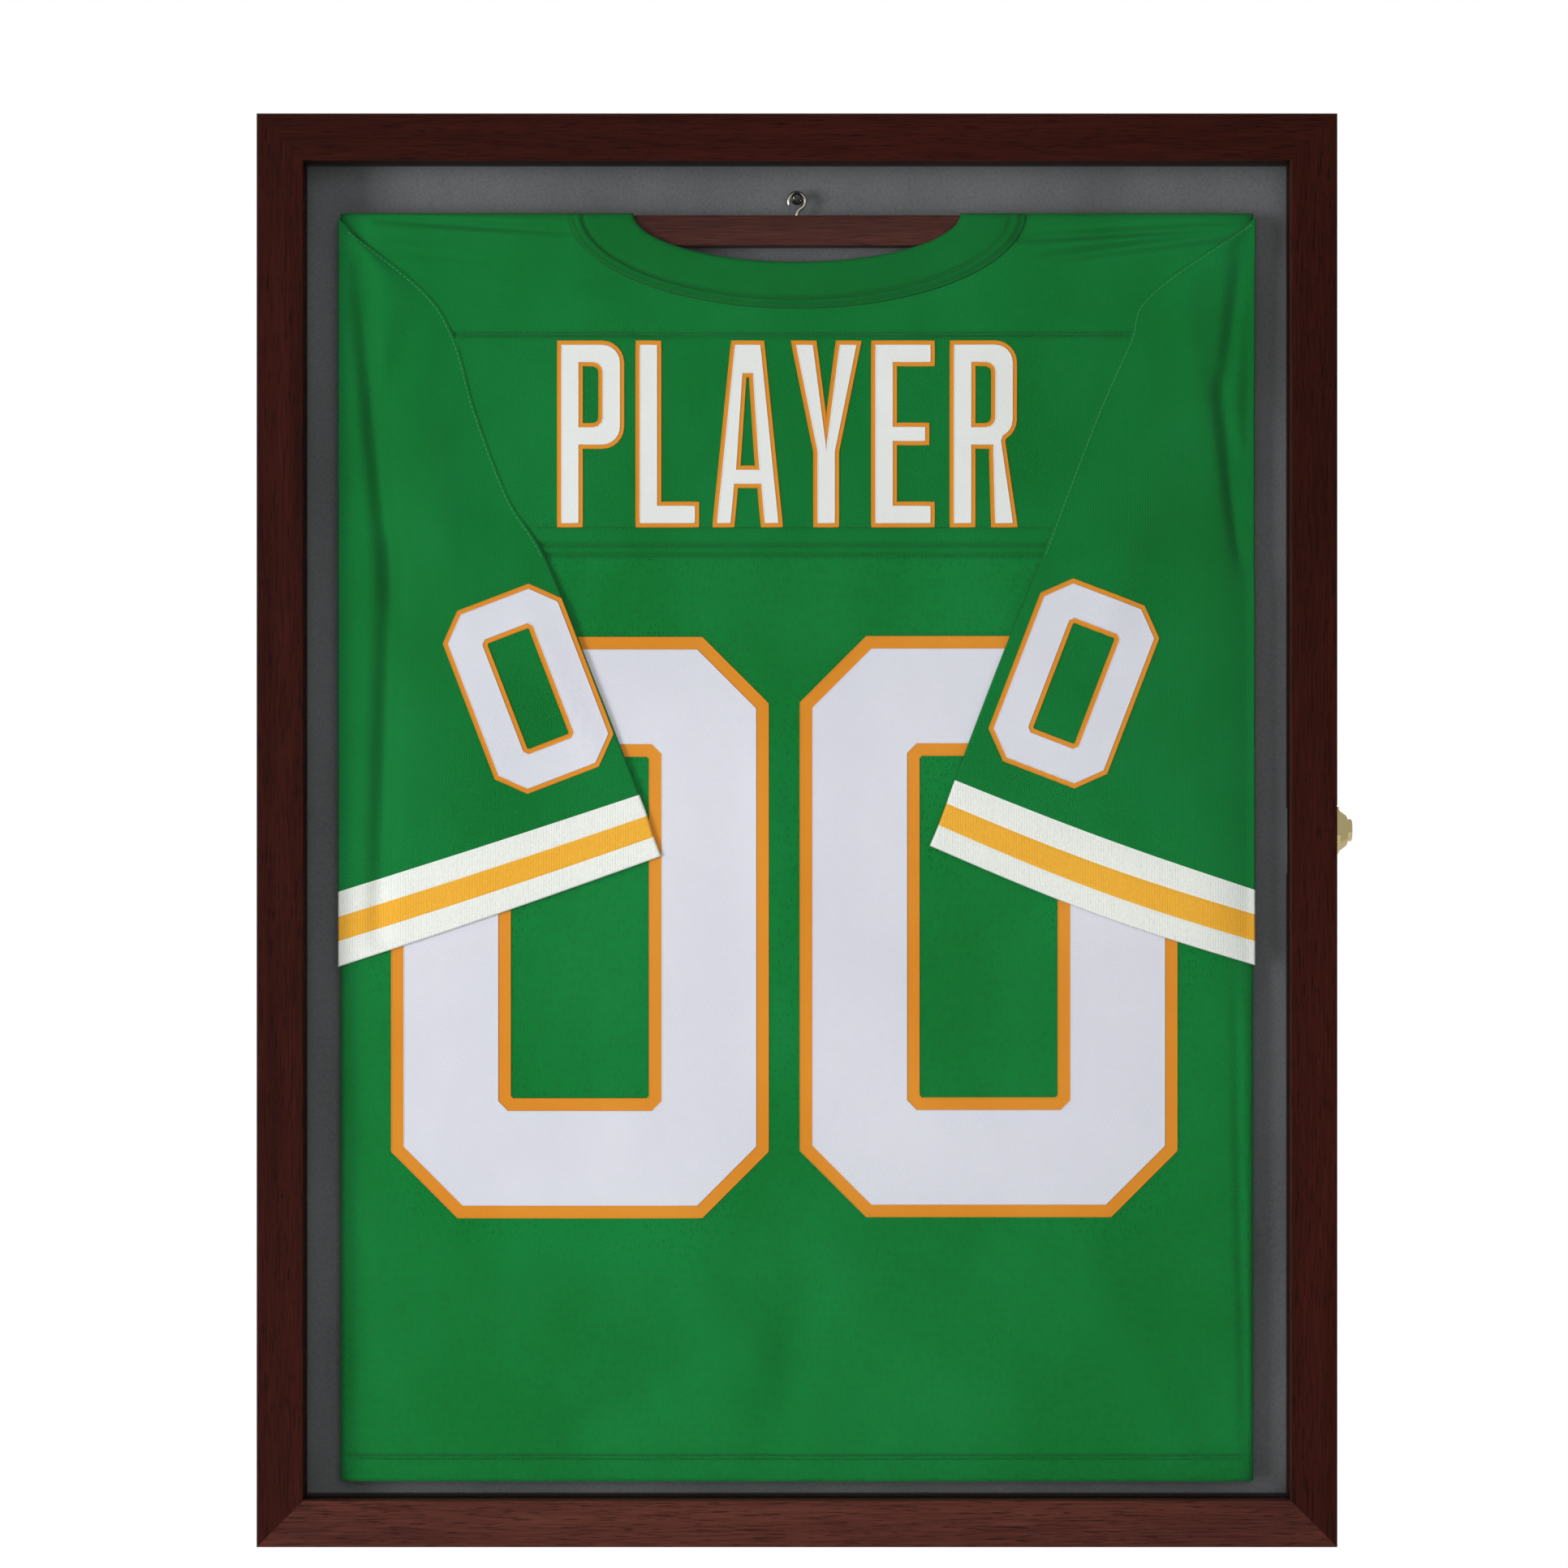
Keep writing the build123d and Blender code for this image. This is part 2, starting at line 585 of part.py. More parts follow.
# The cam hangs straight down when it is unlocked, and its finger points towards the door
finger_middle = radians(-90 - CAM_FINGER_ANGLE / 2)
finger_end = radians(-90 - CAM_FINGER_ANGLE)
with BuildPart() as lock_cam:
    with BuildSketch(facing_right(CAM[0])):
        Circle(CAM_HUB_RADIUS)
        with BuildLine():
            Polyline(
                (-CAM_ARM_WIDTH / 2, 0),
                (CAM_ARM_WIDTH / 2, 0),
                (CAM_ARM_WIDTH / 2, -sqrt(CAM_FINGER[1] ** 2 - CAM_ARM_WIDTH**2 / 4)),
                (0, -CAM_FINGER[1]),
                (-CAM_ARM_WIDTH / 2, -sqrt(CAM_FINGER[1] ** 2 - CAM_ARM_WIDTH**2 / 4)),
                close=True,
            )
        make_face()
        with BuildLine():
            inner, outer = CAM_FINGER
            ThreePointArc(
                (0, -outer),
                (outer * cos(finger_middle), outer * sin(finger_middle)),
                (outer * cos(finger_end), outer * sin(finger_end)),
            )
            Line(
                (outer * cos(finger_end), outer * sin(finger_end)),
                (inner * cos(finger_end), inner * sin(finger_end)),
            )
            ThreePointArc(
                (inner * cos(finger_end), inner * sin(finger_end)),
                (inner * cos(finger_middle), inner * sin(finger_middle)),
                (0, -inner),
            )
            Line((0, -inner), (0, -outer))
        make_face()
        Rectangle(PLUG_SQUARE + CAM_PLAY, PLUG_SQUARE + CAM_PLAY, mode=Mode.SUBTRACT)
    extrude(amount=CAM[1] - CAM[0])
write(lock_cam, "lock_cam")

with BuildPart() as cam_screw:
    with Locations(facing_right(CAM[0] - CAM_SCREW_HEAD[1]).location):
        Cylinder(CAM_SCREW_HEAD[0], CAM_SCREW_HEAD[1], align=BASE)
        for across, up in (CAM_SCREW_RECESS, CAM_SCREW_RECESS[::-1]):
            Box(across, up, CAM_SCREW_RECESS[1], align=BASE, mode=Mode.SUBTRACT)
    with Locations(facing_right(CAM[0]).location):
        Cylinder(CAM_SCREW[0], CAM_SCREW[1], align=BASE)
write(cam_screw, "cam_screw")


# Door
def brad_places(side):
    """A plane at each brad that holds this side's bead, pointing out into the rail."""
    half_width = HALF_WIDTH - DOOR_RAIL_WIDTH
    half_height = HALF_HEIGHT - DOOR_RAIL_WIDTH
    sign = 1 if side in ("top", "right") else -1
    if side in ("top", "bottom"):
        return [
            Plane(origin=(u, -BRAD_DEPTH, CENTRE_Z + sign * half_height), z_dir=(0, 0, sign))
            for u in BRADS_ACROSS
        ]
    return [
        Plane(origin=(sign * half_width, -BRAD_DEPTH, CENTRE_Z + v), z_dir=(sign, 0, 0))
        for v in BRADS_UP
        if sign < 0 or v != LOCK_V
    ]


def brads(side, start=0.0, play=0.0, mode=Mode.ADD):
    for place in brad_places(side):
        with Locations(place.offset(start).location):
            Cylinder(BRAD[0] + play, BRAD[1] + play - start, align=BASE, mode=mode)


for side in SIDES:
    with BuildPart() as door_rail:
        mitred_rail(side, HALF_WIDTH, HALF_HEIGHT, DOOR_RAIL_WIDTH, DOOR_BACK, DOOR_FRONT)
        along = Axis.X if side in ("top", "bottom") else Axis.Z
        fillet(door_rail.edges().filter_by(along).group_by(Axis.Y)[0], radius=EDGE_ROUND)
        window(
            HALF_WIDTH - DOOR_RAIL_WIDTH + DOOR_RABBET,
            HALF_HEIGHT - DOOR_RAIL_WIDTH + DOOR_RABBET,
            DOOR_BACK,
            ACRYLIC_FRONT,
        )
        dowels(door_dowel_places, SCREW_PLAY, Mode.SUBTRACT)
        brads(side, 0, SCREW_PLAY, Mode.SUBTRACT)
        if side == "left":
            for hinge_v in HINGE_CENTRES.values():
                hinge_recess(hinge_v, DOOR_BACK, DOOR_LEAF_BACK + LEAF_THICK)
            screw_holes(HINGE_SCREW, door_hinge_screw_places)
        if side == "right":
            slab(
                (STRIKE_U[0] - STRIKE_PLAY, STRIKE_V[0] - STRIKE_PLAY),
                (STRIKE_U[1] + STRIKE_PLAY, STRIKE_V[1] + STRIKE_PLAY),
                DOOR_BACK,
                DOOR_BACK + STRIKE_THICK,
                Mode.SUBTRACT,
            )
            with Locations(facing_right(CAM_ROOM_U[0]).location):
                Cylinder(
                    CAM_SWEEP_RADIUS,
                    CAM_ROOM_U[1] - CAM_ROOM_U[0],
                    align=BASE,
                    mode=Mode.SUBTRACT,
                )
            screw_holes(STRIKE_SCREW, strike_screw_places)
    names = {"left": "door_hinge_stile", "right": "door_lock_stile"}
    write(door_rail, names.get(side, f"door_{side}_rail"))

    with BuildPart() as bead:
        mitred_rail(
            side,
            HALF_WIDTH - DOOR_RAIL_WIDTH + DOOR_RABBET - BEAD_PLAY,
            HALF_HEIGHT - DOOR_RAIL_WIDTH + DOOR_RABBET - BEAD_PLAY,
            DOOR_RABBET - BEAD_PLAY,
            DOOR_BACK,
            BEAD_FRONT,
        )
        brads(side, 0, SCREW_PLAY, Mode.SUBTRACT)
    write(bead, f"glazing_bead_{side}")

with BuildPart() as bead_pins:
    for side in SIDES:
        brads(side, BRAD_SUNK)
write(bead_pins, "bead_pins")

with BuildPart() as door_dowels:
    dowels(door_dowel_places)
write(door_dowels, "door_dowels")

PANEL_HALF_WIDTH = HALF_WIDTH - DOOR_RAIL_WIDTH + DOOR_RABBET - SHEET_PLAY
PANEL_HALF_HEIGHT = HALF_HEIGHT - DOOR_RAIL_WIDTH + DOOR_RABBET - SHEET_PLAY
with BuildPart() as acrylic_panel:
    slab(
        (-PANEL_HALF_WIDTH, -PANEL_HALF_HEIGHT),
        (PANEL_HALF_WIDTH, PANEL_HALF_HEIGHT),
        BEAD_FRONT,
        ACRYLIC_FRONT,
    )
write(acrylic_panel, "acrylic_panel")

with BuildPart() as strike_plate:
    slab(
        (STRIKE_U[0], STRIKE_V[0]),
        (STRIKE_U[1], STRIKE_V[1]),
        DOOR_BACK,
        DOOR_BACK + STRIKE_THICK,
    )
    slab(
        (STRIKE_SLOT_U[0], STRIKE_SLOT_V[0]),
        (STRIKE_SLOT_U[1], STRIKE_SLOT_V[1]),
        DOOR_BACK,
        DOOR_BACK + STRIKE_THICK,
        Mode.SUBTRACT,
    )
    screw_holes(STRIKE_SCREW, strike_screw_places)
write(strike_plate, "strike_plate")

with BuildPart() as strike_screws:
    screws(STRIKE_SCREW, strike_screw_places)
write(strike_screws, "strike_screws")

# Hanger bar and its hook, a wire that rises from the bar and loops over the peg
with BuildPart() as hanger_bar:
    slab(
        (-BAR_SIZE[0] / 2, BAR_TOP - BAR_SIZE[1]),
        (BAR_SIZE[0] / 2, BAR_TOP),
        HOOK_DEPTH - BAR_SIZE[2] / 2,
        HOOK_DEPTH + BAR_SIZE[2] / 2,
    )
    fillet(hanger_bar.edges().filter_by(Axis.X), radius=EDGE_ROUND)
    with Locations((0, -HOOK_DEPTH, CENTRE_Z + BAR_TOP - HOOK_SHANK - SCREW_PLAY)):
        Cylinder(
            HOOK_WIRE_RADIUS + SCREW_PLAY,
            BAR_SIZE[1],
            align=BASE,
            mode=Mode.SUBTRACT,
        )
write(hanger_bar, "hanger_bar")

shank_low = (0, BAR_TOP - HOOK_SHANK)
join_rise = HOOK_BEND_RADIUS * 2 * sin(radians(HOOK_JOIN_ANGLE))
shank_high = (0, HOOK_V - join_rise)
with BuildPart() as hanger_hook:
    with BuildLine(facing_front(HOOK_DEPTH)) as hook_path:
        Line(shank_low, shank_high)
        bend = JernArc(shank_high, (0, 1), HOOK_BEND_RADIUS, -HOOK_JOIN_ANGLE)
        JernArc(bend @ 1, bend % 1, HOOK_BEND_RADIUS, HOOK_LOOP_ANGLE)
    with BuildSketch(Plane(origin=(0, -HOOK_DEPTH, CENTRE_Z + shank_low[1]), z_dir=(0, 0, 1))):
        Circle(HOOK_WIRE_RADIUS)
    sweep(path=hook_path.wires()[0])
write(hanger_hook, "hanger_hook")


# Jersey: the yoke goes over the bar, and the panels hang from it
def neck_cut(half_width, low, back, front):
    """Cuts the neck opening, a shallow curve below the fold, between two depths."""
    with BuildSketch(facing_front(back)) as opening:
        with BuildLine():
            ThreePointArc((-half_width, JERSEY_TOP), (0, low), (half_width, JERSEY_TOP))
            Polyline(
                (half_width, JERSEY_TOP),
                (half_width, JERSEY_TOP + CLOTH),
                (-half_width, JERSEY_TOP + CLOTH),
                (-half_width, JERSEY_TOP),
            )
        make_face()
    extrude(opening.sketch, amount=front - back, mode=Mode.SUBTRACT)


with BuildPart() as jersey_yoke:
    slab(
        (-JERSEY_HALF_WIDTH, YOKE_SEAM),
        (JERSEY_HALF_WIDTH, JERSEY_TOP),
        JERSEY_REAR,
        JERSEY_FRONT,
    )
    slab(
        (-HALF_WIDTH, YOKE_SEAM - CLOTH),
        (HALF_WIDTH, JERSEY_TOP - CLOTH),
        JERSEY_REAR + CLOTH,
        JERSEY_FRONT - CLOTH,
        Mode.SUBTRACT,
    )
    middle_depth = (JERSEY_REAR + JERSEY_FRONT) / 2
    neck_cut(NECK_HALF_WIDTH, NECK_LOW, middle_depth, JERSEY_FRONT)
    neck_cut(NECK_HALF_WIDTH, NECK_LOW_INSIDE, JERSEY_REAR, middle_depth)
write(jersey_yoke, "jersey_yoke")

for label, back in (
    ("jersey_back_panel", JERSEY_FRONT - CLOTH),
    ("jersey_front_panel", JERSEY_REAR),
):
    with BuildPart() as body_panel:
        slab(
            (-JERSEY_HALF_WIDTH, JERSEY_BOTTOM),
            (JERSEY_HALF_WIDTH, YOKE_SEAM),
            back,
            back + CLOTH,
        )
    write(body_panel, label)

with BuildPart() as jersey_collar:
    with BuildSketch(facing_front(JERSEY_FRONT)):
        with BuildLine():
            ThreePointArc(
                (-COLLAR_HALF_WIDTH, JERSEY_TOP),
                (0, COLLAR_LOW),
                (COLLAR_HALF_WIDTH, JERSEY_TOP),
            )
            Line((COLLAR_HALF_WIDTH, JERSEY_TOP), (NECK_HALF_WIDTH, JERSEY_TOP))
            ThreePointArc(
                (NECK_HALF_WIDTH, JERSEY_TOP),
                (0, NECK_LOW),
                (-NECK_HALF_WIDTH, JERSEY_TOP),
            )
            Line((-NECK_HALF_WIDTH, JERSEY_TOP), (-COLLAR_HALF_WIDTH, JERSEY_TOP))
        make_face()
    extrude(amount=COLLAR_THICK)
write(jersey_collar, "jersey_collar")

for label, hand in (("jersey_left_sleeve", 1), ("jersey_right_sleeve", -1)):
    with BuildPart() as sleeve:
        with BuildSketch(facing_front(SLEEVE_BACK)):
            with BuildLine():
                Polyline(*[(hand * u, v) for u, v in SLEEVE_OUTLINE], close=True)
            make_face()
        extrude(amount=SLEEVE_THICK)
    write(sleeve, label)


def chamfered_ring(width, height, stroke, chamfers, lean=0):
    """A block figure zero: a chamfered rectangle with a chamfered opening, turned by its lean."""
    with BuildSketch(mode=Mode.PRIVATE) as outside:
        Rectangle(width, height)
        chamfer(outside.vertices(), length=chamfers[0])
    with BuildSketch(mode=Mode.PRIVATE) as inside:
        Rectangle(width - 2 * stroke, height - 2 * stroke)
        chamfer(inside.vertices(), length=chamfers[1])
    add(outside.sketch, rotation=lean)
    add(inside.sketch, rotation=lean, mode=Mode.SUBTRACT)


with BuildPart() as back_numbers:
    for u in NUMBER_CENTRES:
        with BuildSketch(facing_front(JERSEY_FRONT, u, NUMBER_V)):
            chamfered_ring(*NUMBER_SIZE, NUMBER_CHAMFER)
        extrude(amount=TWILL)
write(back_numbers, "back_numbers")

with BuildPart() as sleeve_numbers:
    for hand in (-1, 1):
        u, v = SLEEVE_NUMBER_AT
        with BuildSketch(facing_front(SLEEVE_BACK + SLEEVE_THICK, hand * u, v)):
            chamfered_ring(*SLEEVE_NUMBER, SLEEVE_NUMBER_CHAMFER, -hand * SLEEVE_NUMBER_LEAN)
        extrude(amount=TWILL)
write(sleeve_numbers, "sleeve_numbers")

# Letters of the placeholder word, as strokes on a grid of a letter's width and height
L, R, B, T = 0, LETTER_WIDTH, 0, LETTER_HEIGHT
S = LETTER_STROKE
MID = LETTER_HEIGHT / 2
WORD = "PLAYER"


def bar_between(low, high):
    """A rectangle between two corners."""
    with Locations(((low[0] + high[0]) / 2, (low[1] + high[1]) / 2)):
        Rectangle(high[0] - low[0], high[1] - low[1])


def leg(low, high):
    """A slanting stroke between two points of its left edge."""
    with BuildLine() as edge:
        Polyline(low, (low[0] + S, low[1]), (high[0] + S, high[1]), high, close=True)
    make_face(edge.edges())


LETTER_BARS = {
    "P": [((L, B), (S, T)), ((R - S, MID), (R, T)), ((L, T - S), (R, T)), ((L, MID - S), (R, MID))],
    "L": [((L, B), (S, T)), ((L, B), (R, S))],
    "A": [((L, B), (S, T)), ((R - S, B), (R, T)), ((L, T - S), (R, T)), ((L, MID - S), (R, MID))],
    "Y": [((R / 2 - S / 2, B), (R / 2 + S / 2, MID))],
    "E": [
        ((L, B), (S, T)),
        ((L, T - S), (R, T)),
        ((L, MID - S / 2), (R - LETTER_INSET, MID + S / 2)),
        ((L, B), (R, S)),
    ],
    "R": [((L, B), (S, T)), ((R - S, MID), (R, T)), ((L, T - S), (R, T)), ((L, MID - S), (R, MID))],
}
LETTER_LEGS = {
    "Y": [((R / 2 - S / 2, MID - LETTER_LAP), (L, T)), ((R / 2 - S / 2, MID - LETTER_LAP), (R - S, T))],
    "R": [((R - S, B), (R / 2 - S / 2, MID - LETTER_LAP))],
}

with BuildPart() as name_letters:
    start = WORD_MIDDLE - ((len(WORD) - 1) * LETTER_PITCH + LETTER_WIDTH) / 2
    for place, letter in enumerate(WORD):
        left = start + place * LETTER_PITCH
        with BuildSketch(facing_front(JERSEY_FRONT, left, LETTER_BOTTOM)):
            for low, high in LETTER_BARS[letter]:
                bar_between(low, high)
            for low, high in LETTER_LEGS.get(letter, []):
                leg(low, high)
        extrude(amount=TWILL)
write(name_letters, "name_letters")
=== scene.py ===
# %% [markdown]
# # A jersey display frame
# A shallow wooden case hangs on the wall. Its front is a mitred door with an acrylic panel, hinged on the
# left and locked on the right. Inside, a jersey hangs on a wooden bar, and the bar hangs by a wire hook on
# a black peg. The wood, metal and acrylic come from the CAD frame and only get finishes here. The cloth is
# made here, because cloth is soft and the CAD only has flat panels for it.

# %% Load the frame and find the case
import math

import bmesh
import bpy
import numpy as np
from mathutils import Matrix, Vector
from mathutils.bvhtree import BVHTree
from mathutils.geometry import tessellate_polygon


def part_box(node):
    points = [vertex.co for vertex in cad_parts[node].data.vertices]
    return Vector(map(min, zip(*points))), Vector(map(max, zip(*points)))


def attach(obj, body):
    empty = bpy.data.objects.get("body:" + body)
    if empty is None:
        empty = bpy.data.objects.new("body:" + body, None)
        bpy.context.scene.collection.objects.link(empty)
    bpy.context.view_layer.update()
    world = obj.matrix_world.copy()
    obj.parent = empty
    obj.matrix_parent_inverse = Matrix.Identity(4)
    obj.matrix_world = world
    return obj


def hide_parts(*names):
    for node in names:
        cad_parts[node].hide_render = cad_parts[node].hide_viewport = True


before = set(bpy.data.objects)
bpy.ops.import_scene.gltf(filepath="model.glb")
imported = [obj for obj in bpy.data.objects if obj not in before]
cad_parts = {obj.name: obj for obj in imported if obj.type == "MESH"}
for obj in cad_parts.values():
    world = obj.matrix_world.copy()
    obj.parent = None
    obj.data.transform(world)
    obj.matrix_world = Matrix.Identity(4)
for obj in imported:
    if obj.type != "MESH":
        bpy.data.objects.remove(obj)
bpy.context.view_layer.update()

MM = 0.001
door_low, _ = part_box("door_hinge_stile")
_, door_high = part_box("door_lock_stile")
CENTRE_Z = (door_low[2] + door_high[2]) / 2
DOOR_FRONT = -door_low[1] / MM
CASE_HALF_WIDTH = (door_high[0] - door_low[0]) / 2 / MM
CASE_HALF_HEIGHT = (door_high[2] - door_low[2]) / 2 / MM
print("case", round(2 * CASE_HALF_WIDTH), "x", round(2 * CASE_HALF_HEIGHT), "x", round(DOOR_FRONT), "mm")

# %% [markdown]
# Everything on the front of the jersey is easiest to say as seen from the front: U millimetres to the right
# of the middle of the case, V millimetres above it, and a depth D in millimetres from the wall. One helper
# turns those three into Blender's metres.


# %% Points from U, V and depth
def at(u, v, d):
    """Points in metres from arrays or numbers in millimetres."""
    u, v, d = np.broadcast_arrays(np.asarray(u, float), np.asarray(v, float), np.asarray(d, float))
    return np.stack([u * MM, -d * MM, CENTRE_Z + v * MM], axis=-1)


# %% [markdown]
# ## Finishes
# Each finish is a small tree of nodes. Writing every link out by hand would bury the idea, so two helpers
# start a material and add a node with its settings and sockets in one line. Plain numbers are set on the
# shader's own sockets.


# %% Helpers for materials
def start_material(name, **sockets):
    """A material with its main shader's sockets set, such as Roughness."""
    material = bpy.data.materials.new(name)
    material.use_nodes = True
    tree = material.node_tree
    shader = tree.nodes["Principled BSDF"]
    for socket, value in sockets.items():
        shader.inputs[socket.replace("_", " ")].default_value = value
    return material, tree, shader


def add_node(tree, kind, inputs=None, **settings):
    """Adds a node, sets it up, and links or fills its sockets."""
    node = tree.nodes.new("ShaderNode" + kind)
    for setting, value in settings.items():
        setattr(node, setting, value)
    for socket, value in (inputs or {}).items():
        if isinstance(value, bpy.types.NodeSocket):
            tree.links.new(value, node.inputs[socket])
        else:
            node.inputs[socket].default_value = value
    return node


def colour(red, green, blue):
    """A screen colour, 0 to 255, as the linear colour that shaders take."""
    parts = [c / 255 for c in (red, green, blue)]
    linear = [c / 12.92 if c <= 0.04045 else ((c + 0.055) / 1.055) ** 2.4 for c in parts]
    return (*linear, 1.0)


def stretched_coordinates(tree, scale):
    """The object's own coordinates, stretched, so that a pattern can be longer one way."""
    where = add_node(tree, "TexCoord")
    return add_node(
        tree, "Mapping", {"Vector": where.outputs["Object"], "Scale": scale}
    ).outputs["Vector"]


def ramp(tree, factor, stops):
    """A colour ramp with (position, colour) stops."""
    node = add_node(tree, "ValToRGB", {"Fac": factor})
    elements = node.color_ramp.elements
    elements[0].position, elements[0].color = stops[0]
    elements[1].position, elements[1].color = stops[-1]
    for position, stop in stops[1:-1]:
        elements.new(position).color = stop
    return node.outputs["Color"]


def give_bump(tree, shader, height, distance, strength=1.0):
    bump = add_node(
        tree, "Bump", {"Height": height, "Distance": distance, "Strength": strength},
    )
    tree.links.new(bump.outputs["Normal"], shader.inputs["Normal"])


# %% [markdown]
# The rails are a dark mahogany-stained wood. A picture of wood would not follow the rails round the corner,
# so the grain is noise stretched along each rail: a wide slow tone, a fine streak, and short dark pores
# that are pressed in a little. The same recipe, with lighter colours, serves the wood that nobody sees.


# %% Wood
def wood(name, along, dark, middle, light, gloss=0.5, lacquer=0.03):
    """Wood whose grain runs along one axis, 0 for X or 2 for Z."""
    material, tree, shader = start_material(
        name, Roughness=gloss, Coat_Weight=lacquer, Coat_Roughness=0.3, Specular_IOR_Level=0.05
    )

    def stretched(lengthwise, across):
        scale = [across] * 3
        scale[along] = lengthwise
        return stretched_coordinates(tree, scale)

    tone = add_node(
        tree, "TexNoise", {"Vector": stretched(3, 55), "Scale": 1.0, "Detail": 4.0, "Distortion": 0.5},
    )
    streak = add_node(
        tree, "TexNoise", {"Vector": stretched(30, 980), "Scale": 1.0, "Detail": 5.0, "Roughness": 0.6},
    )
    pores = add_node(
        tree, "TexNoise", {"Vector": stretched(95, 1500), "Scale": 1.0, "Detail": 2.0},
    )
    mixed = add_node(
        tree, "Math", {0: tone.outputs["Fac"], 1: streak.outputs["Fac"]}, operation="ADD",
    )
    halved = add_node(tree, "Math", {0: mixed.outputs[0], 1: 0.5}, operation="MULTIPLY")
    grain = ramp(tree, halved.outputs[0], [(0.36, dark), (0.5, middle), (0.66, light)])
    pits = ramp(tree, pores.outputs["Fac"], [(0.33, (0.45, 0.45, 0.45, 1)), (0.44, (1, 1, 1, 1))])
    tinted = add_node(
        tree, "Mix", {"Factor": 1.0}, data_type="RGBA", blend_type="MULTIPLY",
    )
    colours = [s for s in tinted.inputs if s.type == "RGBA"]
    tree.links.new(grain, colours[0])
    tree.links.new(pits, colours[1])
    result = [s for s in tinted.outputs if s.type == "RGBA"][0]
    tree.links.new(result, shader.inputs["Base Color"])
    give_bump(tree, shader, pores.outputs["Fac"], 0.00012, 0.5)
    return material


MAHOGANY = (colour(32, 8, 4), colour(43, 12, 7), colour(54, 18, 11))
rail_across = wood("mahogany along X", 0, *MAHOGANY)
rail_upright = wood("mahogany along Z", 2, *MAHOGANY)
# A lighter copy of the mahogany. On the door's bottom rail it is a painted sheen, where that rail catches
# more light. The hanger bar gets the same lighter wood.
RAIL_SHEEN_AND_BAR_TONES = (colour(52, 24, 19), colour(69, 34, 28), colour(84, 46, 37))
sheen_rail_and_bar = wood("lighter mahogany along X", 0, *RAIL_SHEEN_AND_BAR_TONES)
# The glazing beads get a near-black copy of the wood: painted shade for the dark band just inside the
# frame's opening.
BEAD_SHADE_TONES = (colour(20, 6, 4), colour(34, 11, 8), colour(50, 18, 13))
shaded_bead_across = wood("dark bead along X", 0, *BEAD_SHADE_TONES)
shaded_bead_upright = wood("dark bead along Z", 2, *BEAD_SHADE_TONES)
PINE_TONES = (colour(150, 108, 66), colour(186, 146, 98), colour(208, 172, 124))
pine = wood("sawn pine", 0, *PINE_TONES, gloss=0.75, lacquer=0.0)
BOARD_TONES = (colour(84, 56, 34), colour(104, 72, 46), colour(120, 86, 58))
hardboard = wood("hardboard", 0, *BOARD_TONES, gloss=0.6, lacquer=0.0)
print("wood finishes", 7)

# %% [markdown]
# The metal parts differ in colour and polish: pale polished brass for the lock, bright nickel for the hook,
# dull plated steel for hinges and screws, and gloss black for the peg. Very fine noise in the roughness and
# a hint of bump stop them from looking like plastic.


# %% Metals and the peg
def metal(name, tint, roughness, scratch=0.06, metallic=1.0, coat=0.0):
    material, tree, shader = start_material(name, Metallic=metallic, Coat_Weight=coat)
    shader.inputs["Base Color"].default_value = tint
    noise = add_node(
        tree,
        "TexNoise",
        {"Vector": stretched_coordinates(tree, (900, 900, 900)), "Scale": 1.0, "Detail": 3.0},
    )
    spread = add_node(
        tree,
        "MapRange",
        {
            "Value": noise.outputs["Fac"],
            "To Min": max(0.02, roughness - scratch),
            "To Max": roughness + scratch,
        },
    )
    tree.links.new(spread.outputs["Result"], shader.inputs["Roughness"])
    give_bump(tree, shader, noise.outputs["Fac"], 0.00002, 0.4)
    return material


brass = metal("polished pale brass", colour(226, 206, 150), 0.16)
nickel = metal("bright nickel", colour(236, 228, 212), 0.24)
hinge_steel = metal("plated hinge steel", colour(150, 136, 112), 0.34)
plated_steel = metal("zinc plated steel", colour(176, 176, 172), 0.32)
peg_black = metal("gloss black enamel", colour(8, 8, 9), 0.1, 0.03, metallic=0.0, coat=1.0)
print("metal finishes", 5)

# %% [markdown]
# The door panel is clear acrylic. A full glass shader bends light and leaves the inside dark and noisy, and
# a thin flat sheet hardly bends anything. So it is a mix: most light goes straight through, and the share
# that the surface reflects comes from its refractive index. Light isn't bent inside the sheet, so seen from
# more than about 56 degrees to the side the inner faces reflect everything and the panel looks opaque.

# %% Clear acrylic
acrylic = bpy.data.materials.new("clear acrylic")
acrylic.use_nodes = True
acrylic_tree = acrylic.node_tree
acrylic_tree.nodes.remove(acrylic_tree.nodes["Principled BSDF"])
through = add_node(acrylic_tree, "BsdfTransparent", {"Color": (0.985, 0.99, 0.988, 1)})
shine = add_node(acrylic_tree, "BsdfGlossy", {"Roughness": 0.03})
fresnel = add_node(acrylic_tree, "Fresnel", {"IOR": 1.2})
sheet_mix = add_node(
    acrylic_tree, "MixShader", {0: fresnel.outputs[0], 1: through.outputs[0], 2: shine.outputs[0]},
)
acrylic_tree.links.new(sheet_mix.outputs[0], acrylic_tree.nodes["Material Output"].inputs["Surface"])

# %% [markdown]
# The cloths differ mostly in their pattern. The yoke and sleeves are a smooth fine knit, the body is a knit
# with small upright eyelets in offset rows, the sewn-on letters and numbers are twill with a slanting rib,
# and the lining behind the jersey is a grey woven felt. Each is a fine pattern that dents the surface, with
# a slow change of tone over it.


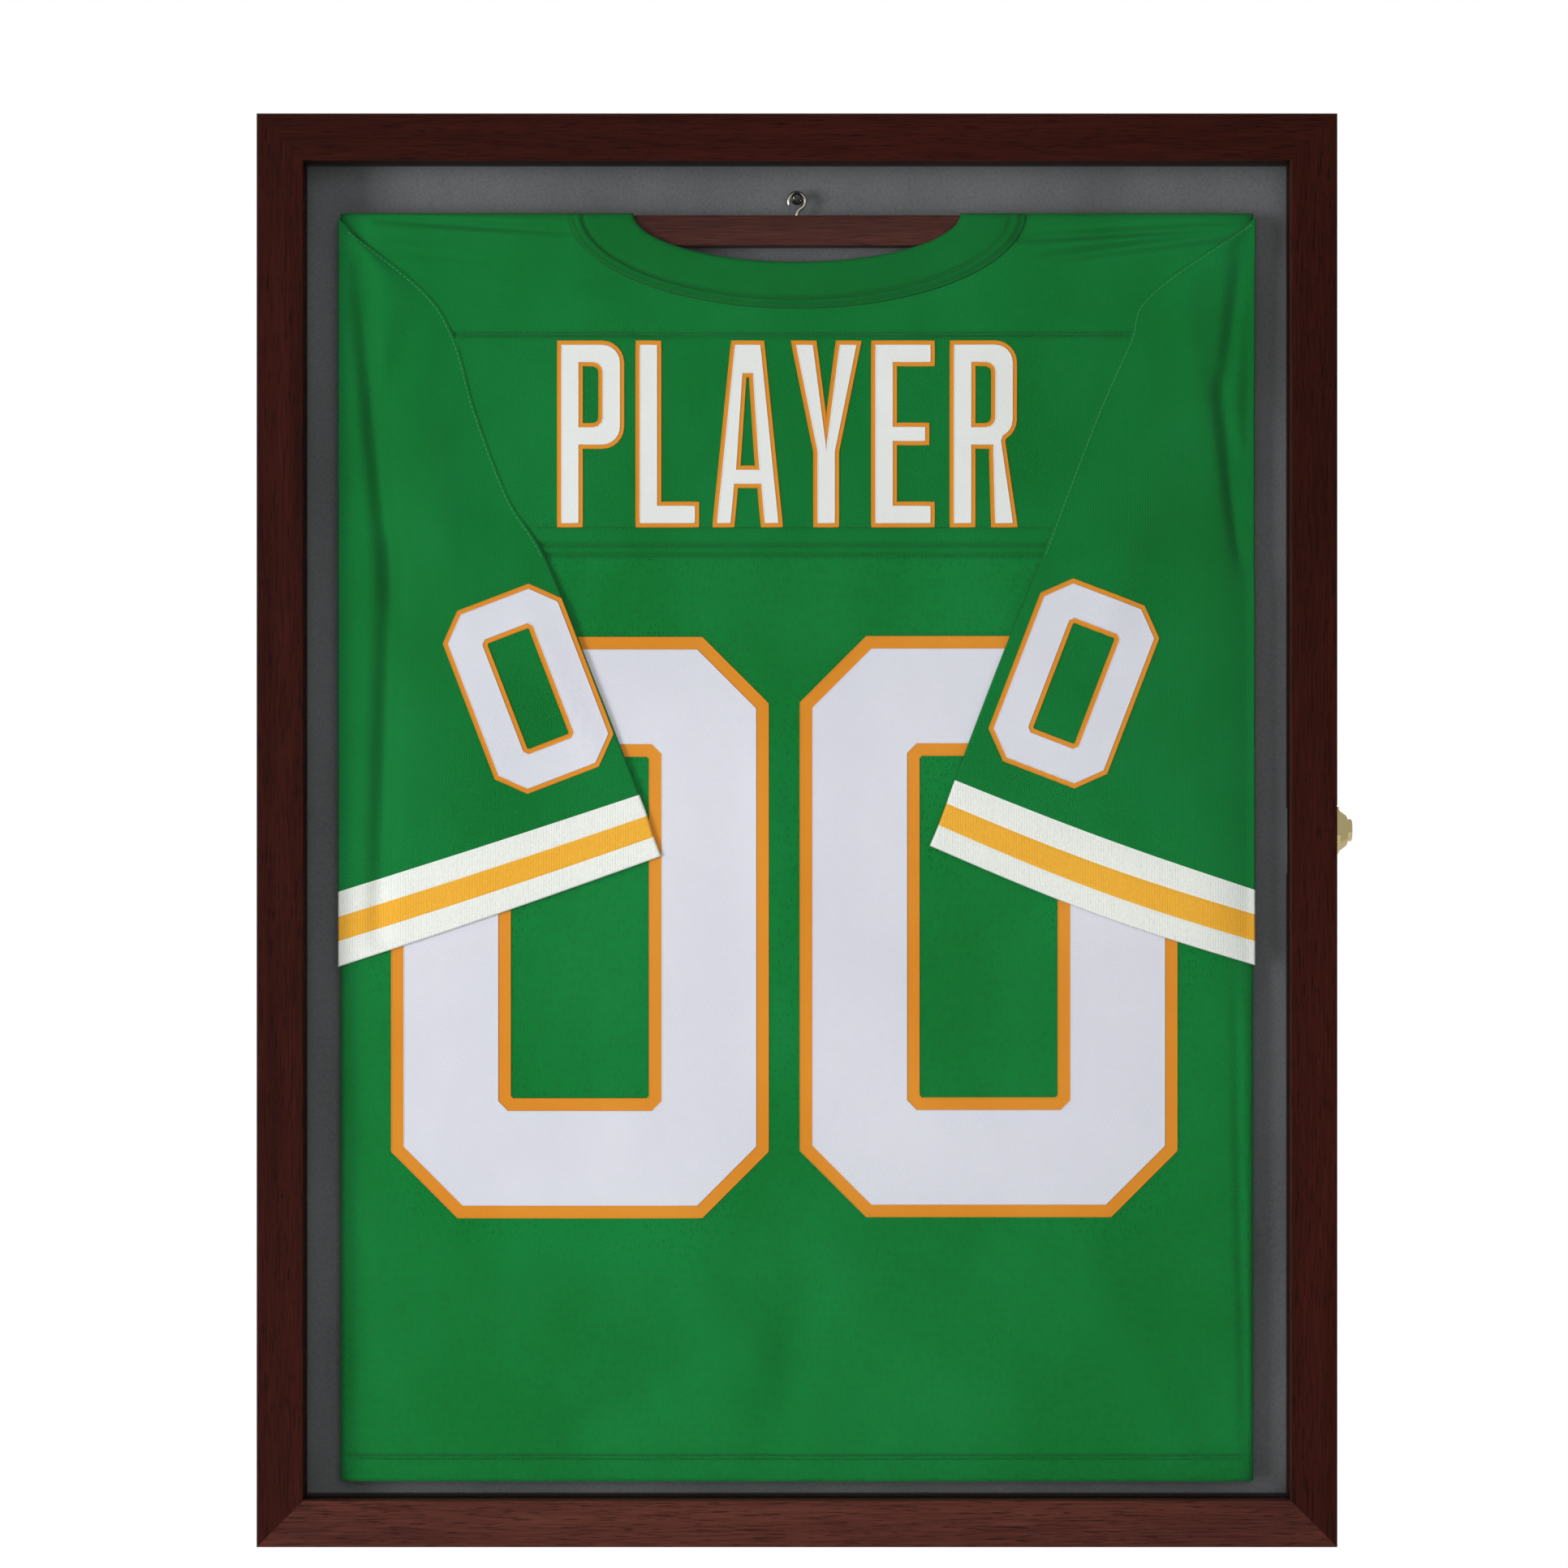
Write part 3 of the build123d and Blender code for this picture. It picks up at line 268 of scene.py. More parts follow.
# %% Cloth
def cloth(name, tones, pattern, sheen=0.03, roughness=0.85, depth=0.00015):
    """A cloth with two near tones, and a pattern that gives its bump and darkens its low places."""
    material, tree, shader = start_material(
        name, Roughness=roughness, Sheen_Weight=sheen, Sheen_Roughness=0.5, Specular_IOR_Level=0.08
    )
    slow = add_node(
        tree, "TexNoise", {"Vector": stretched_coordinates(tree, (14, 14, 9)), "Scale": 1.0, "Detail": 5.0},
    )
    base = ramp(tree, slow.outputs["Fac"], [(0.35, tones[0]), (0.65, tones[1])])
    height = pattern(tree)
    shade = ramp(tree, height, [(0.0, (0.5, 0.5, 0.5, 1)), (0.6, (1, 1, 1, 1))])
    mixed = add_node(tree, "Mix", data_type="RGBA", blend_type="MULTIPLY")
    mixed.inputs["Factor"].default_value = 1.0
    colours = [s for s in mixed.inputs if s.type == "RGBA"]
    tree.links.new(base, colours[0])
    tree.links.new(shade, colours[1])
    result = [s for s in mixed.outputs if s.type == "RGBA"][0]
    tree.links.new(result, shader.inputs["Base Color"])
    give_bump(tree, shader, height, depth)
    return material


def fine_knit(tree):
    """Narrow upright ribs, broken by noise, 0.9 mm apart."""
    ribs = add_node(
        tree,
        "TexWave",
        {
            "Vector": stretched_coordinates(tree, (1, 1, 0.15)),
            "Scale": 350.0,
            "Distortion": 1.2,
            "Detail": 2.0,
            "Detail Scale": 3.0,
        },
        bands_direction="X",
    )
    fuzz = add_node(
        tree,
        "TexNoise",
        {"Vector": stretched_coordinates(tree, (1400, 1400, 700)), "Scale": 1.0, "Detail": 3.0},
    )
    both = add_node(
        tree, "Math", {0: ribs.outputs["Fac"], 1: fuzz.outputs["Fac"]}, operation="ADD",
    )
    return add_node(
        tree, "Math", {0: both.outputs[0], 1: 0.5}, operation="MULTIPLY"
    ).outputs[0]


def eyelet_knit(tree):
    """Small upright eyelets, about 1.6 by 4.3 mm apart and not quite in rows."""
    cells = add_node(
        tree,
        "TexVoronoi",
        {
            "Vector": stretched_coordinates(tree, (640, 120, 230)),
            "Scale": 1.0,
            "Randomness": 0.65,
        },
    )
    eyes = add_node(
        tree, "MapRange", {"Value": cells.outputs["Distance"], "From Min": 0.12, "From Max": 0.42},
    )
    ground = fine_knit(tree)
    share = add_node(tree, "Math", {0: ground, 1: 0.35}, operation="MULTIPLY")
    return add_node(
        tree, "Math", {0: eyes.outputs["Result"], 1: 0.65, 2: share.outputs[0]}, operation="MULTIPLY_ADD",
    ).outputs[0]


def twill_weave(tree):
    """Slanting ribs 0.8 mm apart."""
    turn = add_node(
        tree,
        "Mapping",
        {
            "Vector": add_node(tree, "TexCoord").outputs["Object"],
            "Rotation": (0, math.radians(63), 0),
        },
    )
    return add_node(
        tree,
        "TexWave",
        {"Vector": turn.outputs["Vector"], "Scale": 390.0, "Distortion": 0.8, "Detail": 1.0},
        bands_direction="X",
    ).outputs["Fac"]


def felt_grain(tree):
    """A fine uneven pebble, as on pressed cloth."""
    return add_node(
        tree,
        "TexNoise",
        {
            "Vector": stretched_coordinates(tree, (620, 620, 620)),
            "Scale": 1.0,
            "Detail": 5.0,
            "Roughness": 0.65,
        },
    ).outputs["Fac"]


GREENS = (colour(1, 112, 42), colour(8, 122, 54))
# The collar gets a slightly darker green than the body.
DEEP_GREENS = (colour(0, 104, 38), colour(4, 112, 46))
smooth_green = cloth("green fine knit", GREENS, fine_knit, depth=0.00008)
collar_green = cloth("deep green rib", DEEP_GREENS, fine_knit, depth=0.00012)
mesh_green = cloth("green eyelet knit", GREENS, eyelet_knit, depth=0.0002)
white_twill = cloth(
    "white twill", (colour(232, 231, 243), colour(238, 237, 248)), twill_weave, depth=0.00005
)
name_twill = cloth(
    "bright twill", (colour(246, 246, 245), colour(250, 250, 249)), twill_weave, depth=0.00005
)
orange_twill = cloth(
    "orange twill", (colour(234, 146, 40), colour(240, 156, 50)), twill_weave, depth=0.00005
)
cuff_white = cloth(
    "white cuff knit", (colour(238, 240, 236), colour(244, 246, 241)), fine_knit, depth=0.00008
)
cuff_orange = cloth(
    "orange cuff knit", (colour(244, 174, 50), colour(248, 182, 60)), fine_knit, depth=0.00008
)
lining_grey = cloth(
    "grey lining", (colour(98, 98, 100), colour(110, 110, 112)), felt_grain, depth=0.0003
)
bumper_black = cloth("black felt", (colour(10, 10, 10), colour(18, 18, 18)), felt_grain, depth=0.0002)
card_grey = cloth("grey card", (colour(150, 148, 142), colour(165, 162, 156)), felt_grain, depth=0.0001)
print("cloth finishes", 11)

# %% [markdown]
# The CAD pieces keep their shapes. A table says which finish goes on which piece. Upright rails get the
# wood that runs up, and the others get the wood that runs across.

# %% Finishes on the CAD pieces
finishes = {
    rail_across: ("door_top_rail", "case_top_rail", "case_bottom_rail"),
    sheen_rail_and_bar: ("door_bottom_rail", "hanger_bar"),
    rail_upright: ("door_hinge_stile", "door_lock_stile", "case_left_side", "case_right_side"),
    shaded_bead_across: ("glazing_bead_top", "glazing_bead_bottom"),
    shaded_bead_upright: ("glazing_bead_left", "glazing_bead_right"),
    pine: ("hanging_batten", "case_dowels", "door_dowels"),
    hardboard: ("back_panel",),
    card_grey: ("backing_board",),
    acrylic: ("acrylic_panel",),
    brass: ("lock_housing", "lock_plug"),
    nickel: ("hanger_hook",),
    peg_black: ("hanger_peg",),
    bumper_black: ("door_bumpers",),
    hinge_steel: (
        "upper_hinge_case_leaf",
        "lower_hinge_case_leaf",
        "upper_hinge_door_leaf",
        "lower_hinge_door_leaf",
        "upper_hinge_pin",
        "lower_hinge_pin",
        "hinge_case_screws",
        "hinge_door_screws",
    ),
    plated_steel: (
        "lock_nut",
        "lock_cam",
        "cam_screw",
        "strike_plate",
        "strike_screws",
        "keyhole_plates",
        "keyhole_screws",
        "back_panel_screws",
        "batten_screws",
        "bead_pins",
    ),
}
for finish, names in finishes.items():
    for name in names:
        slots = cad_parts[name].data.materials
        for index in range(len(slots)):
            slots[index] = finish
print("CAD pieces with a finish", sum(len(names) for names in finishes.values()))


# %% [markdown]
# ## Cloth pieces
# Each cloth piece starts as a grid of points worked out with numpy, because a grid keeps seams straight and
# makes it easy to add a fold: a fold is a bell-shaped dent or ridge along a line. The pieces are welded
# where two grids meet, and each gets a thin second side so that its hem shows an edge.


# %% Helpers for cloth pieces
def grid_faces(rows, columns, first=0):
    """The four-sided faces of a grid of points numbered row by row."""
    return [
        (first + r * columns + c, first + r * columns + c + 1,
         first + (r + 1) * columns + c + 1, first + (r + 1) * columns + c)
        for r in range(rows - 1)
        for c in range(columns - 1)
    ]


def new_piece(name, points, faces, finish_list, weld=0.00002, finish_of=None):
    """A smooth-shaded mesh object, with near points joined and its outside turned out."""
    mesh = bpy.data.meshes.new(name)
    mesh.from_pydata([tuple(p) for p in np.asarray(points).reshape(-1, 3)], [], faces)
    if finish_of:
        mesh.polygons.foreach_set("material_index", finish_of)
    shape = bmesh.new()
    shape.from_mesh(mesh)
    bmesh.ops.remove_doubles(shape, verts=shape.verts, dist=weld)
    bmesh.ops.recalc_face_normals(shape, faces=shape.faces)
    shape.to_mesh(mesh)
    shape.free()
    piece = bpy.data.objects.new(name, mesh)
    bpy.context.scene.collection.objects.link(piece)
    for finish in finish_list:
        mesh.materials.append(finish)
    mesh.shade_smooth()
    return piece


def thicken(piece, thickness, offset=-1.0):
    """Gives a single layer of cloth its second side."""
    solid = piece.modifiers.new("cloth thickness", "SOLIDIFY")
    solid.thickness = thickness * MM
    solid.offset = offset
    return piece


def crease(u, v, start, end, width, height):
    """A soft ridge, or a dent where height is negative, along a line in U and V."""
    a, b = np.array(start, float), np.array(end, float)
    along = b - a
    length = np.hypot(*along)
    t = ((u - a[0]) * along[0] + (v - a[1]) * along[1]) / length**2
    near = np.clip(t, 0, 1)
    away = np.hypot(u - a[0] - near * along[0], v - a[1] - near * along[1])
    fade = np.sin(np.pi * np.clip(t * 0.86 + 0.07, 0, 1)) ** 0.6
    return height * fade * np.exp(-((away / width) ** 2))


def smooth(x, low, high):
    """Rises smoothly from 0 at low to 1 at high."""
    t = np.clip((np.asarray(x, float) - low) / (high - low), 0, 1)
    return t * t * (3 - 2 * t)


# %% [markdown]
# ### The body
# The body of the jersey is a flat tube. Its two layers hang over the bar, join at the shoulder fold and at
# the sides, and stay open at the hem and the neck. At each place the cloth is half the tube's thickness in
# front of its middle or behind it, and that half falls to nothing at the fold and at the sides, which
# rounds them. The neck is half an ellipse on each layer, deeper on the layer that faces the wall.

# %% The body's shape
HALF_WIDTH = 256.6
FOLD_TOP = 346.2
HEM = -365.2
NECK = (91.8, 27.8)
NECK_INSIDE = (91.8, 72.6)
bar_low, bar_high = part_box("hanger_bar")
MIDDLE_DEPTH = -(bar_low[1] + bar_high[1]) / 2 / MM
BAR_HALF = (bar_high[1] - bar_low[1]) / 2 / MM
HALF_TUBE = BAR_HALF + 1.6
BAR_GAP = 0.7  # how far a crease may sink over the bar
BAR_FOOT = (bar_low[2] - CENTRE_Z) / MM
YOKE_SEAM, WAIST_SEAMS, HEM_SEAM = 277.8, (169.3, 159.7, 154.2), -351.4
SHOULDER_END = 300
WAIST_DENTS = (0.5, 1.8, 1.8)  # the first runs under the word's feet, so it is shallow

# (where a fold starts, where it ends, its width, its height)
SHOULDER_FOLDS = [
    ((262, 337), (112, 327), 13.0, 4.6),
    ((258, 338.5), (124, 331), 2.6, -5.2),
    ((256, 335), (138, 320), 3.0, -5.0),
    ((253, 337), (196, 300), 1.8, 1.5),
    ((-254, 338), (-120, 336), 9.0, 3.2),
    ((-236, 342), (-124, 335), 2.4, -3.6),
    ((-250, 330), (-160, 318), 4.0, -1.8),
]
SIDE_FOLDS = [
    ((-248, 338), (-227, 130), 6.0, -7.6),
    ((-227, 160), (-234, -60), 6.5, -7.4),
    ((-214, 292), (-234, 222), 9.0, -2.6),
    ((-212, 226), (-186, 110), 11.0, 1.6),
    ((250, 330), (239, 240), 5.0, -3.8),
    ((237, 250), (251, 150), 5.0, -6.0),
    ((264, 322), (262, 145), 17.0, -8.5),
    ((262, 230), (262, -80), 20.0, -6.0),
    ((206, 215), (172, 110), 11.0, 1.6),
    ((214, 330), (226, 226), 9.0, 1.8),
    ((-152, 122), (-108, 30), 9.0, 1.3),
]
BODY_FOLDS = [
    ((-160, 303), (-92, 295), 12.0, 1.4),
    ((60, 242), (190, 287), 20.0, 1.6),
    ((-20, 90), (-10, -70), 12.0, 1.6),
    ((30, -232), (150, -252), 18.0, -3.2),
    ((-210, -242), (-60, -227), 22.0, 2.8),
    ((-60, -262), (20, -343), 16.0, 3.0),
    ((10, -250), (-20, -350), 12.0, -2.6),
    ((150, -242), (217, -343), 18.0, 2.8),
    ((-150, -350), (-60, -300), 14.0, -2.4),
    ((246, -86), (251, -338), 2.6, -2.0),
    ((-250, -86), (-250, -362), 2.6, -1.8),
    *SHOULDER_FOLDS,
    *SIDE_FOLDS,
]


def side_fall(u):
    """1 in the middle, falling to 0 at the side edges."""
    return (1 - np.clip(np.abs(u) / HALF_WIDTH, 0, 1) ** 26) ** (1 / 3)


def top_fall(v):
    """1 down the body, falling to 0 at the shoulder fold."""
    rise = np.clip((v - (FOLD_TOP - 7)) / 7, 0, 1)
    return (1 - rise**4) ** 0.25


def seam_dents(v):
    """The shallow grooves that the horizontal seams pull into the cloth."""
    dents = -1.7 * np.exp(-(((v - YOKE_SEAM) / 1.3) ** 2))
    dents = dents + 1.0 * np.exp(-(((v - YOKE_SEAM + 3.5) / 2.0) ** 2))
    for seam, depth in zip(WAIST_SEAMS, WAIST_DENTS):
        dents -= depth * np.exp(-(((v - seam) / 1.3) ** 2))
    return dents - 1.5 * np.exp(-(((v - HEM_SEAM) / 1.3) ** 2))


def front_depth(u, v, seams=True):
    """How far the layer that faces the viewer stands from the wall, with or without its seams."""
    u, v = np.asarray(u, float), np.asarray(v, float)
    ripple = sum(crease(u, v, *fold) for fold in BODY_FOLDS)
    if seams:
        ripple = ripple + seam_dents(v)
    over_bar = smooth(v, BAR_FOOT - 14, BAR_FOOT - 4)
    ripple = np.maximum(ripple, -BAR_GAP * over_bar - 8 * (1 - over_bar))
    sway = 0.5 * smooth(v, 100, HEM) * np.sin(u / 41 + 0.9) * np.cos(u / 97 - 0.4)
    fall = side_fall(u) * top_fall(v)
    return MIDDLE_DEPTH + fall * (HALF_TUBE + ripple + sway)


def rear_depth(u, v):
    sway = 0.4 * smooth(v, 100, HEM) * np.sin(u / 53 + 2.0)
    return MIDDLE_DEPTH - side_fall(u) * top_fall(v) * (HALF_TUBE - 0.4 + sway)


def neckline(u, axes):
    """The top edge of a layer: the fold, or the lower half of an ellipse at the neck."""
    return FOLD_TOP - axes[1] * np.sqrt(np.clip(1 - (u / axes[0]) ** 2, 0, 1))


# %% [markdown]
# The grid is closer where the shape turns fast: at the sides, round the ends of the neck, over the fold,
# across the shoulders, where the creases are narrow, and at each seam. Everywhere else about 3 mm is
# enough for cloth that hangs this flat.


# %% The body's two layers
def column_places():
    """U of each column, closer at the sides and at the ends of the neck."""
    turn = np.linspace(0, np.pi, 61)
    neck = -NECK[0] * np.cos(turn)
    gap = np.linspace(0, 1, 49)
    eased = HALF_WIDTH - (HALF_WIDTH - NECK[0]) * (1 - gap) ** 1.6
    right = np.unique(np.round(eased, 3))[1:]
    edge = HALF_WIDTH - np.array([0.15, 0.5, 1.0, 1.8, 2.8])
    right = np.unique(np.concatenate([right, edge]))
    return np.concatenate([-right[::-1], neck, right])


def row_places():
    """How far down each row is, as V on a column that reaches the fold."""
    fold = FOLD_TOP - 7 * (1 - np.cos(np.linspace(0, np.pi / 2, 9)))
    shoulder = np.arange(FOLD_TOP - 8.2, SHOULDER_END, -1.1)
    down = np.arange(SHOULDER_END, HEM, -3.0)
    near_seams = [
        seam + step for seam in (YOKE_SEAM, *WAIST_SEAMS, HEM_SEAM) for step in (-1.6, -0.8, 0, 0.8, 1.6)
    ]
    return np.unique(np.concatenate([fold, shoulder, down, near_seams, [HEM]]))[::-1]


columns, rows = column_places(), row_places()


def body_layer(depth, axes):
    """One layer as rows of points. Under the neck its rows are pressed together below the neckline."""
    u, v = np.meshgrid(columns, rows)
    low_ground = YOKE_SEAM - 15
    top = neckline(u, axes)
    squeezed = low_ground + (v - low_ground) * (top - low_ground) / (FOLD_TOP - low_ground)
    v = np.where(v > low_ground, squeezed, v)
    return at(u, v, depth(u, v))


front, rear = body_layer(front_depth, NECK), body_layer(rear_depth, NECK_INSIDE)
count = len(rows) * len(columns)
body_faces = grid_faces(len(rows), len(columns)) + grid_faces(len(rows), len(columns), count)
jersey_body = new_piece(
    "knit_body", np.concatenate([front.reshape(-1, 3), rear.reshape(-1, 3)]), body_faces,
    [smooth_green, mesh_green],
)
waist_z = CENTRE_Z + WAIST_SEAMS[2] * MM
for face in jersey_body.data.polygons:
    face.material_index = 1 if face.center.z < waist_z else 0
thicken(jersey_body, 0.7)
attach(jersey_body, "hanger")
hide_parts("jersey_yoke", "jersey_back_panel", "jersey_front_panel")
print("body", len(jersey_body.data.polygons), "faces")

# %% [markdown]
# ### The collar
# The collar is a knitted band sewn round the neck. It is a grid between two half ellipses that stands a
# little proud of the body, with a rolled neck edge and two rows of stitching near its outer edge, where the
# band is pulled down.

# %% The collar band
COLLAR_OUTER = (128.6, 54.1)
turns = np.linspace(np.pi, 2 * np.pi, 121)
across = np.array(
    [0, 0.01, 0.04, 0.1, 0.2, 0.35, 0.5, 0.62, 0.7, 0.74, 0.77, 0.8, 0.84, 0.88, 0.92, 0.97, 0.99, 1.0]
)
f, turn = np.meshgrid(across, turns)
collar_u = (NECK[0] + (COLLAR_OUTER[0] - NECK[0]) * f) * np.cos(turn)
collar_v = FOLD_TOP + (NECK[1] + (COLLAR_OUTER[1] - NECK[1]) * f) * np.sin(turn)
rolled = (1 - (2 * f - 1) ** 16) ** 0.5 * np.sqrt(np.abs(np.sin(turn))) ** 0.2
groove = 1.9 * np.exp(-(((f - 0.77) / 0.03) ** 2)) + 1.6 * np.exp(-(((f - 0.93) / 0.028) ** 2))
swell = 0.6 * np.exp(-(((f - 0.1) / 0.1) ** 2)) + 1.3 * np.exp(-(((f - 0.85) / 0.045) ** 2))
proud = rolled * (2.3 + swell - groove)
collar_front = at(collar_u, collar_v, front_depth(collar_u, collar_v) + proud + 0.1)
collar_back = at(collar_u, collar_v, front_depth(collar_u, collar_v) + 0.1)
collar_count = collar_u.size
jersey_collar = new_piece(
    "collar_band",
    np.concatenate([collar_front.reshape(-1, 3), collar_back.reshape(-1, 3)]),
    grid_faces(len(turns), len(across)) + grid_faces(len(turns), len(across), collar_count),
    [collar_green],
)
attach(jersey_collar, "hanger")
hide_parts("jersey_collar")

# %% [markdown]
# ### The sleeves
# The sleeves are flat tubes folded forward over the body. Each is described by a few rows, from the
# shoulder to the cuff: where the row leaves the outer fold, and where it ends on the armhole seam or on the
# sleeve's free edge. A smooth curve through those ends gives the sleeve's outline, and its two layers close
# at the edges. The last rows are the knitted bands of the cuff.

# %% The sleeves' rows
# (V on the outer fold, U and V at the inner end, both for the left sleeve)
LEFT_ROWS = [
    (342.5, -251.0, 337.0),
    (308.6, -207.3, 301.0),
    (278.3, -190.7, 273.3),
    (240.0, -180.1, 235.9),
    (187.5, -161.4, 186.5),
    (151.1, -140.7, 152.2),
    (60.3, -113.5, 84.5),
    (-34.8, -88.1, 19.7),
    (-48.9, -83.7, 7.9),
    (-62.5, -80.0, -3.9),
    (-77.0, -76.0, -14.8),
]
RIGHT_ROWS = [
    (343.0, 254.5, 341.0),
    (308.6, 196.9, 300.2),
    (278.3, 185.8, 273.9),
    (240.0, 169.6, 237.9),
    (187.5, 150.0, 187.5),
    (151.1, 137.3, 153.5),
    (62.3, 112.1, 90.6),
    (-33.8, 88.3, 27.9),
    (-47.5, 83.7, 14.9),
    (-62.5, 79.2, 2.8),
    (-76.1, 74.3, -8.9),
]
SEAM_END = 5.0
CUFF_STARTS = (7.0, 8.0, 9.0)


def through_points(values, places):
    """A smooth curve through values at 0, 1, 2 and so on, read at places."""
    values = np.asarray(values, float)
    slope = np.gradient(values)
    i = np.clip(places.astype(int), 0, len(values) - 2)
    t = places - i
    return (
        (2 * t**3 - 3 * t**2 + 1) * values[i]
        + (t**3 - 2 * t**2 + t) * slope[i]
        + (-2 * t**3 + 3 * t**2) * values[i + 1]
        + (t**3 - t**2) * slope[i + 1]
    )


# %% [markdown]
# Near the shoulder the sleeve lies on the yoke, and it lifts away along the free edge, where it has to
# clear the big numbers. The cuffs droop a little in the middle of a row.


# %% The sleeves
def sleeve_places():
    """Row positions, with extra rows beside each band of the cuff."""
    smooth_rows = np.linspace(0, 10, 131)
    beside = [start + step for start in CUFF_STARTS for step in (-0.05, 0.05)]
    return np.unique(np.concatenate([smooth_rows, beside, [9.85, 9.95, 9.985]]))


def make_sleeve(name, node, hand, rows_given, droop):
    places = sleeve_places()
    outer_v = through_points([row[0] for row in rows_given], places)[:, None]
    inner_u = through_points([row[1] for row in rows_given], places)[:, None]
    inner_v = through_points([row[2] for row in rows_given], places)[:, None]
    eased = 0.5 - 0.5 * np.cos(np.linspace(0, np.pi, 71))
    s = (0.35 * eased + 0.65 * np.linspace(0, 1, 71))[None, :]
    s = np.sort(np.concatenate([s, [[0.002, 0.006, 0.994, 0.998]]], axis=1))
    outer_u = hand * (HALF_WIDTH + 0.6)
    u = outer_u + (inner_u - outer_u) * s
    v = outer_v + (inner_v - outer_v) * s
    t = places[:, None] + 0 * s
    v = v - droop * smooth(t, 5, 9) * np.sin(np.pi * s)
    width = np.abs(inner_u - outer_u)
    edge = np.minimum(s, 1 - s) * width
    end = (10 - t) * 14.0
    rim = (1 - (1 - np.clip(edge / 1.1, 0, 1)) ** 2) ** 0.5
    rim = rim * (1 - (1 - np.clip(end / 1.1, 0, 1)) ** 2) ** 0.5
    on_seam = 1 - smooth(t, SEAM_END - 0.8, SEAM_END + 0.6)
    loose = 1 - on_seam * smooth(s, 0.55, 1.0)
    lift = 0.15 + 2.1 * loose
    grooves = sum(0.35 * np.exp(-(((t - start) / 0.05) ** 2)) for start in CUFF_STARTS)
    inside = HALF_WIDTH - 4.0
    under = front_depth(np.clip(u, -inside, inside), v, seams=False) + lift
    over = under + rim * (0.5 + 1.2 * loose - grooves)
    points = np.concatenate([at(u, v, over).reshape(-1, 3), at(u, v, under).reshape(-1, 3)])
    faces = grid_faces(*u.shape)
    middles = (places[1:] + places[:-1]) / 2
    bands = [(0, 1, 2, 1)[sum(middle > start for start in CUFF_STARTS)] for middle in middles]
    per_face = [band for band in bands for _ in range(u.shape[1] - 1)]
    piece = new_piece(
        name,
        points,
        faces + grid_faces(*u.shape, u.size),
        [smooth_green, cuff_white, cuff_orange],
        weld=0.00001,
        finish_of=per_face * 2,
    )
    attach(piece, "hanger")
    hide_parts(node)
    return piece, (outer_v, inner_u, inner_v)


DROOP = {-1: 1.0, 1: 4.0}
left_sleeve, left_edges = make_sleeve("left_sleeve", "jersey_left_sleeve", -1, LEFT_ROWS, DROOP[-1])
right_sleeve, right_edges = make_sleeve("right_sleeve", "jersey_right_sleeve", 1, RIGHT_ROWS, DROOP[1])
print("sleeves", len(left_sleeve.data.polygons), len(right_sleeve.data.polygons), "faces")

# %% [markdown]
# ### Sewn-on letters and numbers
# Each figure is two layers of twill: an orange one, and a smaller white one on it. A layer starts as a flat
# outline, is cut into small cells so that it can follow the cloth, and is then laid on the cloth by casting
# a ray at it from the front. The word and the numbers are generic ones.


# %% Helpers for sewn-on layers
def tree_of(pieces):
    """What a ray can hit, from the pieces as they are shown."""
    points, faces = [], []
    graph = bpy.context.evaluated_depsgraph_get()
    for piece in pieces:
        shown = piece.evaluated_get(graph)
        mesh = shown.to_mesh()
        faces += [[len(points) + i for i in f.vertices] for f in mesh.polygons]
        points += [v.co.copy() for v in mesh.vertices]
        shown.to_mesh_clear()
    return BVHTree.FromPolygons(points, faces)


def laid_depth(tree, u, v, fallback):
    """The depth of the frontmost cloth at U and V."""
    start = Vector((u * MM, -0.2, CENTRE_Z + v * MM))
    hit, _, _, _ = tree.ray_cast(start, Vector((0, 1, 0)))
    return -hit.y / MM if hit else fallback


def grown(outline, by):
    """An outline moved outward by a distance, with sharp corners. Holes run the other way and shrink."""
    corners = []
    for before, here, after in zip(outline[-1:] + outline[:-1], outline, outline[1:] + outline[:1]):
        a = Vector(here) - Vector(before)
        b = Vector(after) - Vector(here)
        na, nb = Vector((a.y, -a.x)).normalized(), Vector((b.y, -b.x)).normalized()
        middle = (na + nb) / (1 + na.dot(nb))
        corners.append((here[0] + by * middle.x, here[1] + by * middle.y))
    return corners


def cut_into_cells(shape, cell):
    """Cuts a flat mesh in U and V along the lines of a square grid."""
    for axis in (0, 1):
        places = [vert.co[axis] for vert in shape.verts]
        for step in range(math.ceil(min(places) / cell), math.floor(max(places) / cell) + 1):
            spot, normal = [0, 0, 0], [0, 0, 0]
            spot[axis], normal[axis] = step * cell, 1
            geometry = shape.verts[:] + shape.edges[:] + shape.faces[:]
            bmesh.ops.bisect_plane(shape, geom=geometry, plane_co=spot, plane_no=normal, dist=1e-4)


def sewn_layer(name, figures, tree, proud, thickness, finish, cell=6.0):
    """A layer of twill with one or more figures, each a list of an outline and its holes."""
    shape = bmesh.new()
    for outlines in figures:
        loops = [[Vector((u, v, 0)) for u, v in outline] for outline in outlines]
        flat = [point for loop in loops for point in loop]
        verts = [shape.verts.new(point) for point in flat]
        for triangle in tessellate_polygon(loops):
            shape.faces.new([verts[i] for i in triangle])
    cut_into_cells(shape, cell)
    fallback = MIDDLE_DEPTH + HALF_TUBE
    points = []
    for vert in shape.verts:
        u, v = vert.co.x, vert.co.y
        points.append(at(u, v, laid_depth(tree, u, v, fallback) + proud))
    shape.verts.index_update()
    faces = [[vert.index for vert in face.verts] for face in shape.faces]
    shape.free()
    piece = new_piece(name, points, faces, [finish])
    piece.data.shade_flat()
    towards_viewer = sum(face.normal.y * face.area for face in piece.data.polygons) < 0
    if not towards_viewer:
        piece.data.flip_normals()
    thicken(piece, thickness, 1.0)
    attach(piece, "hanger")
    return piece


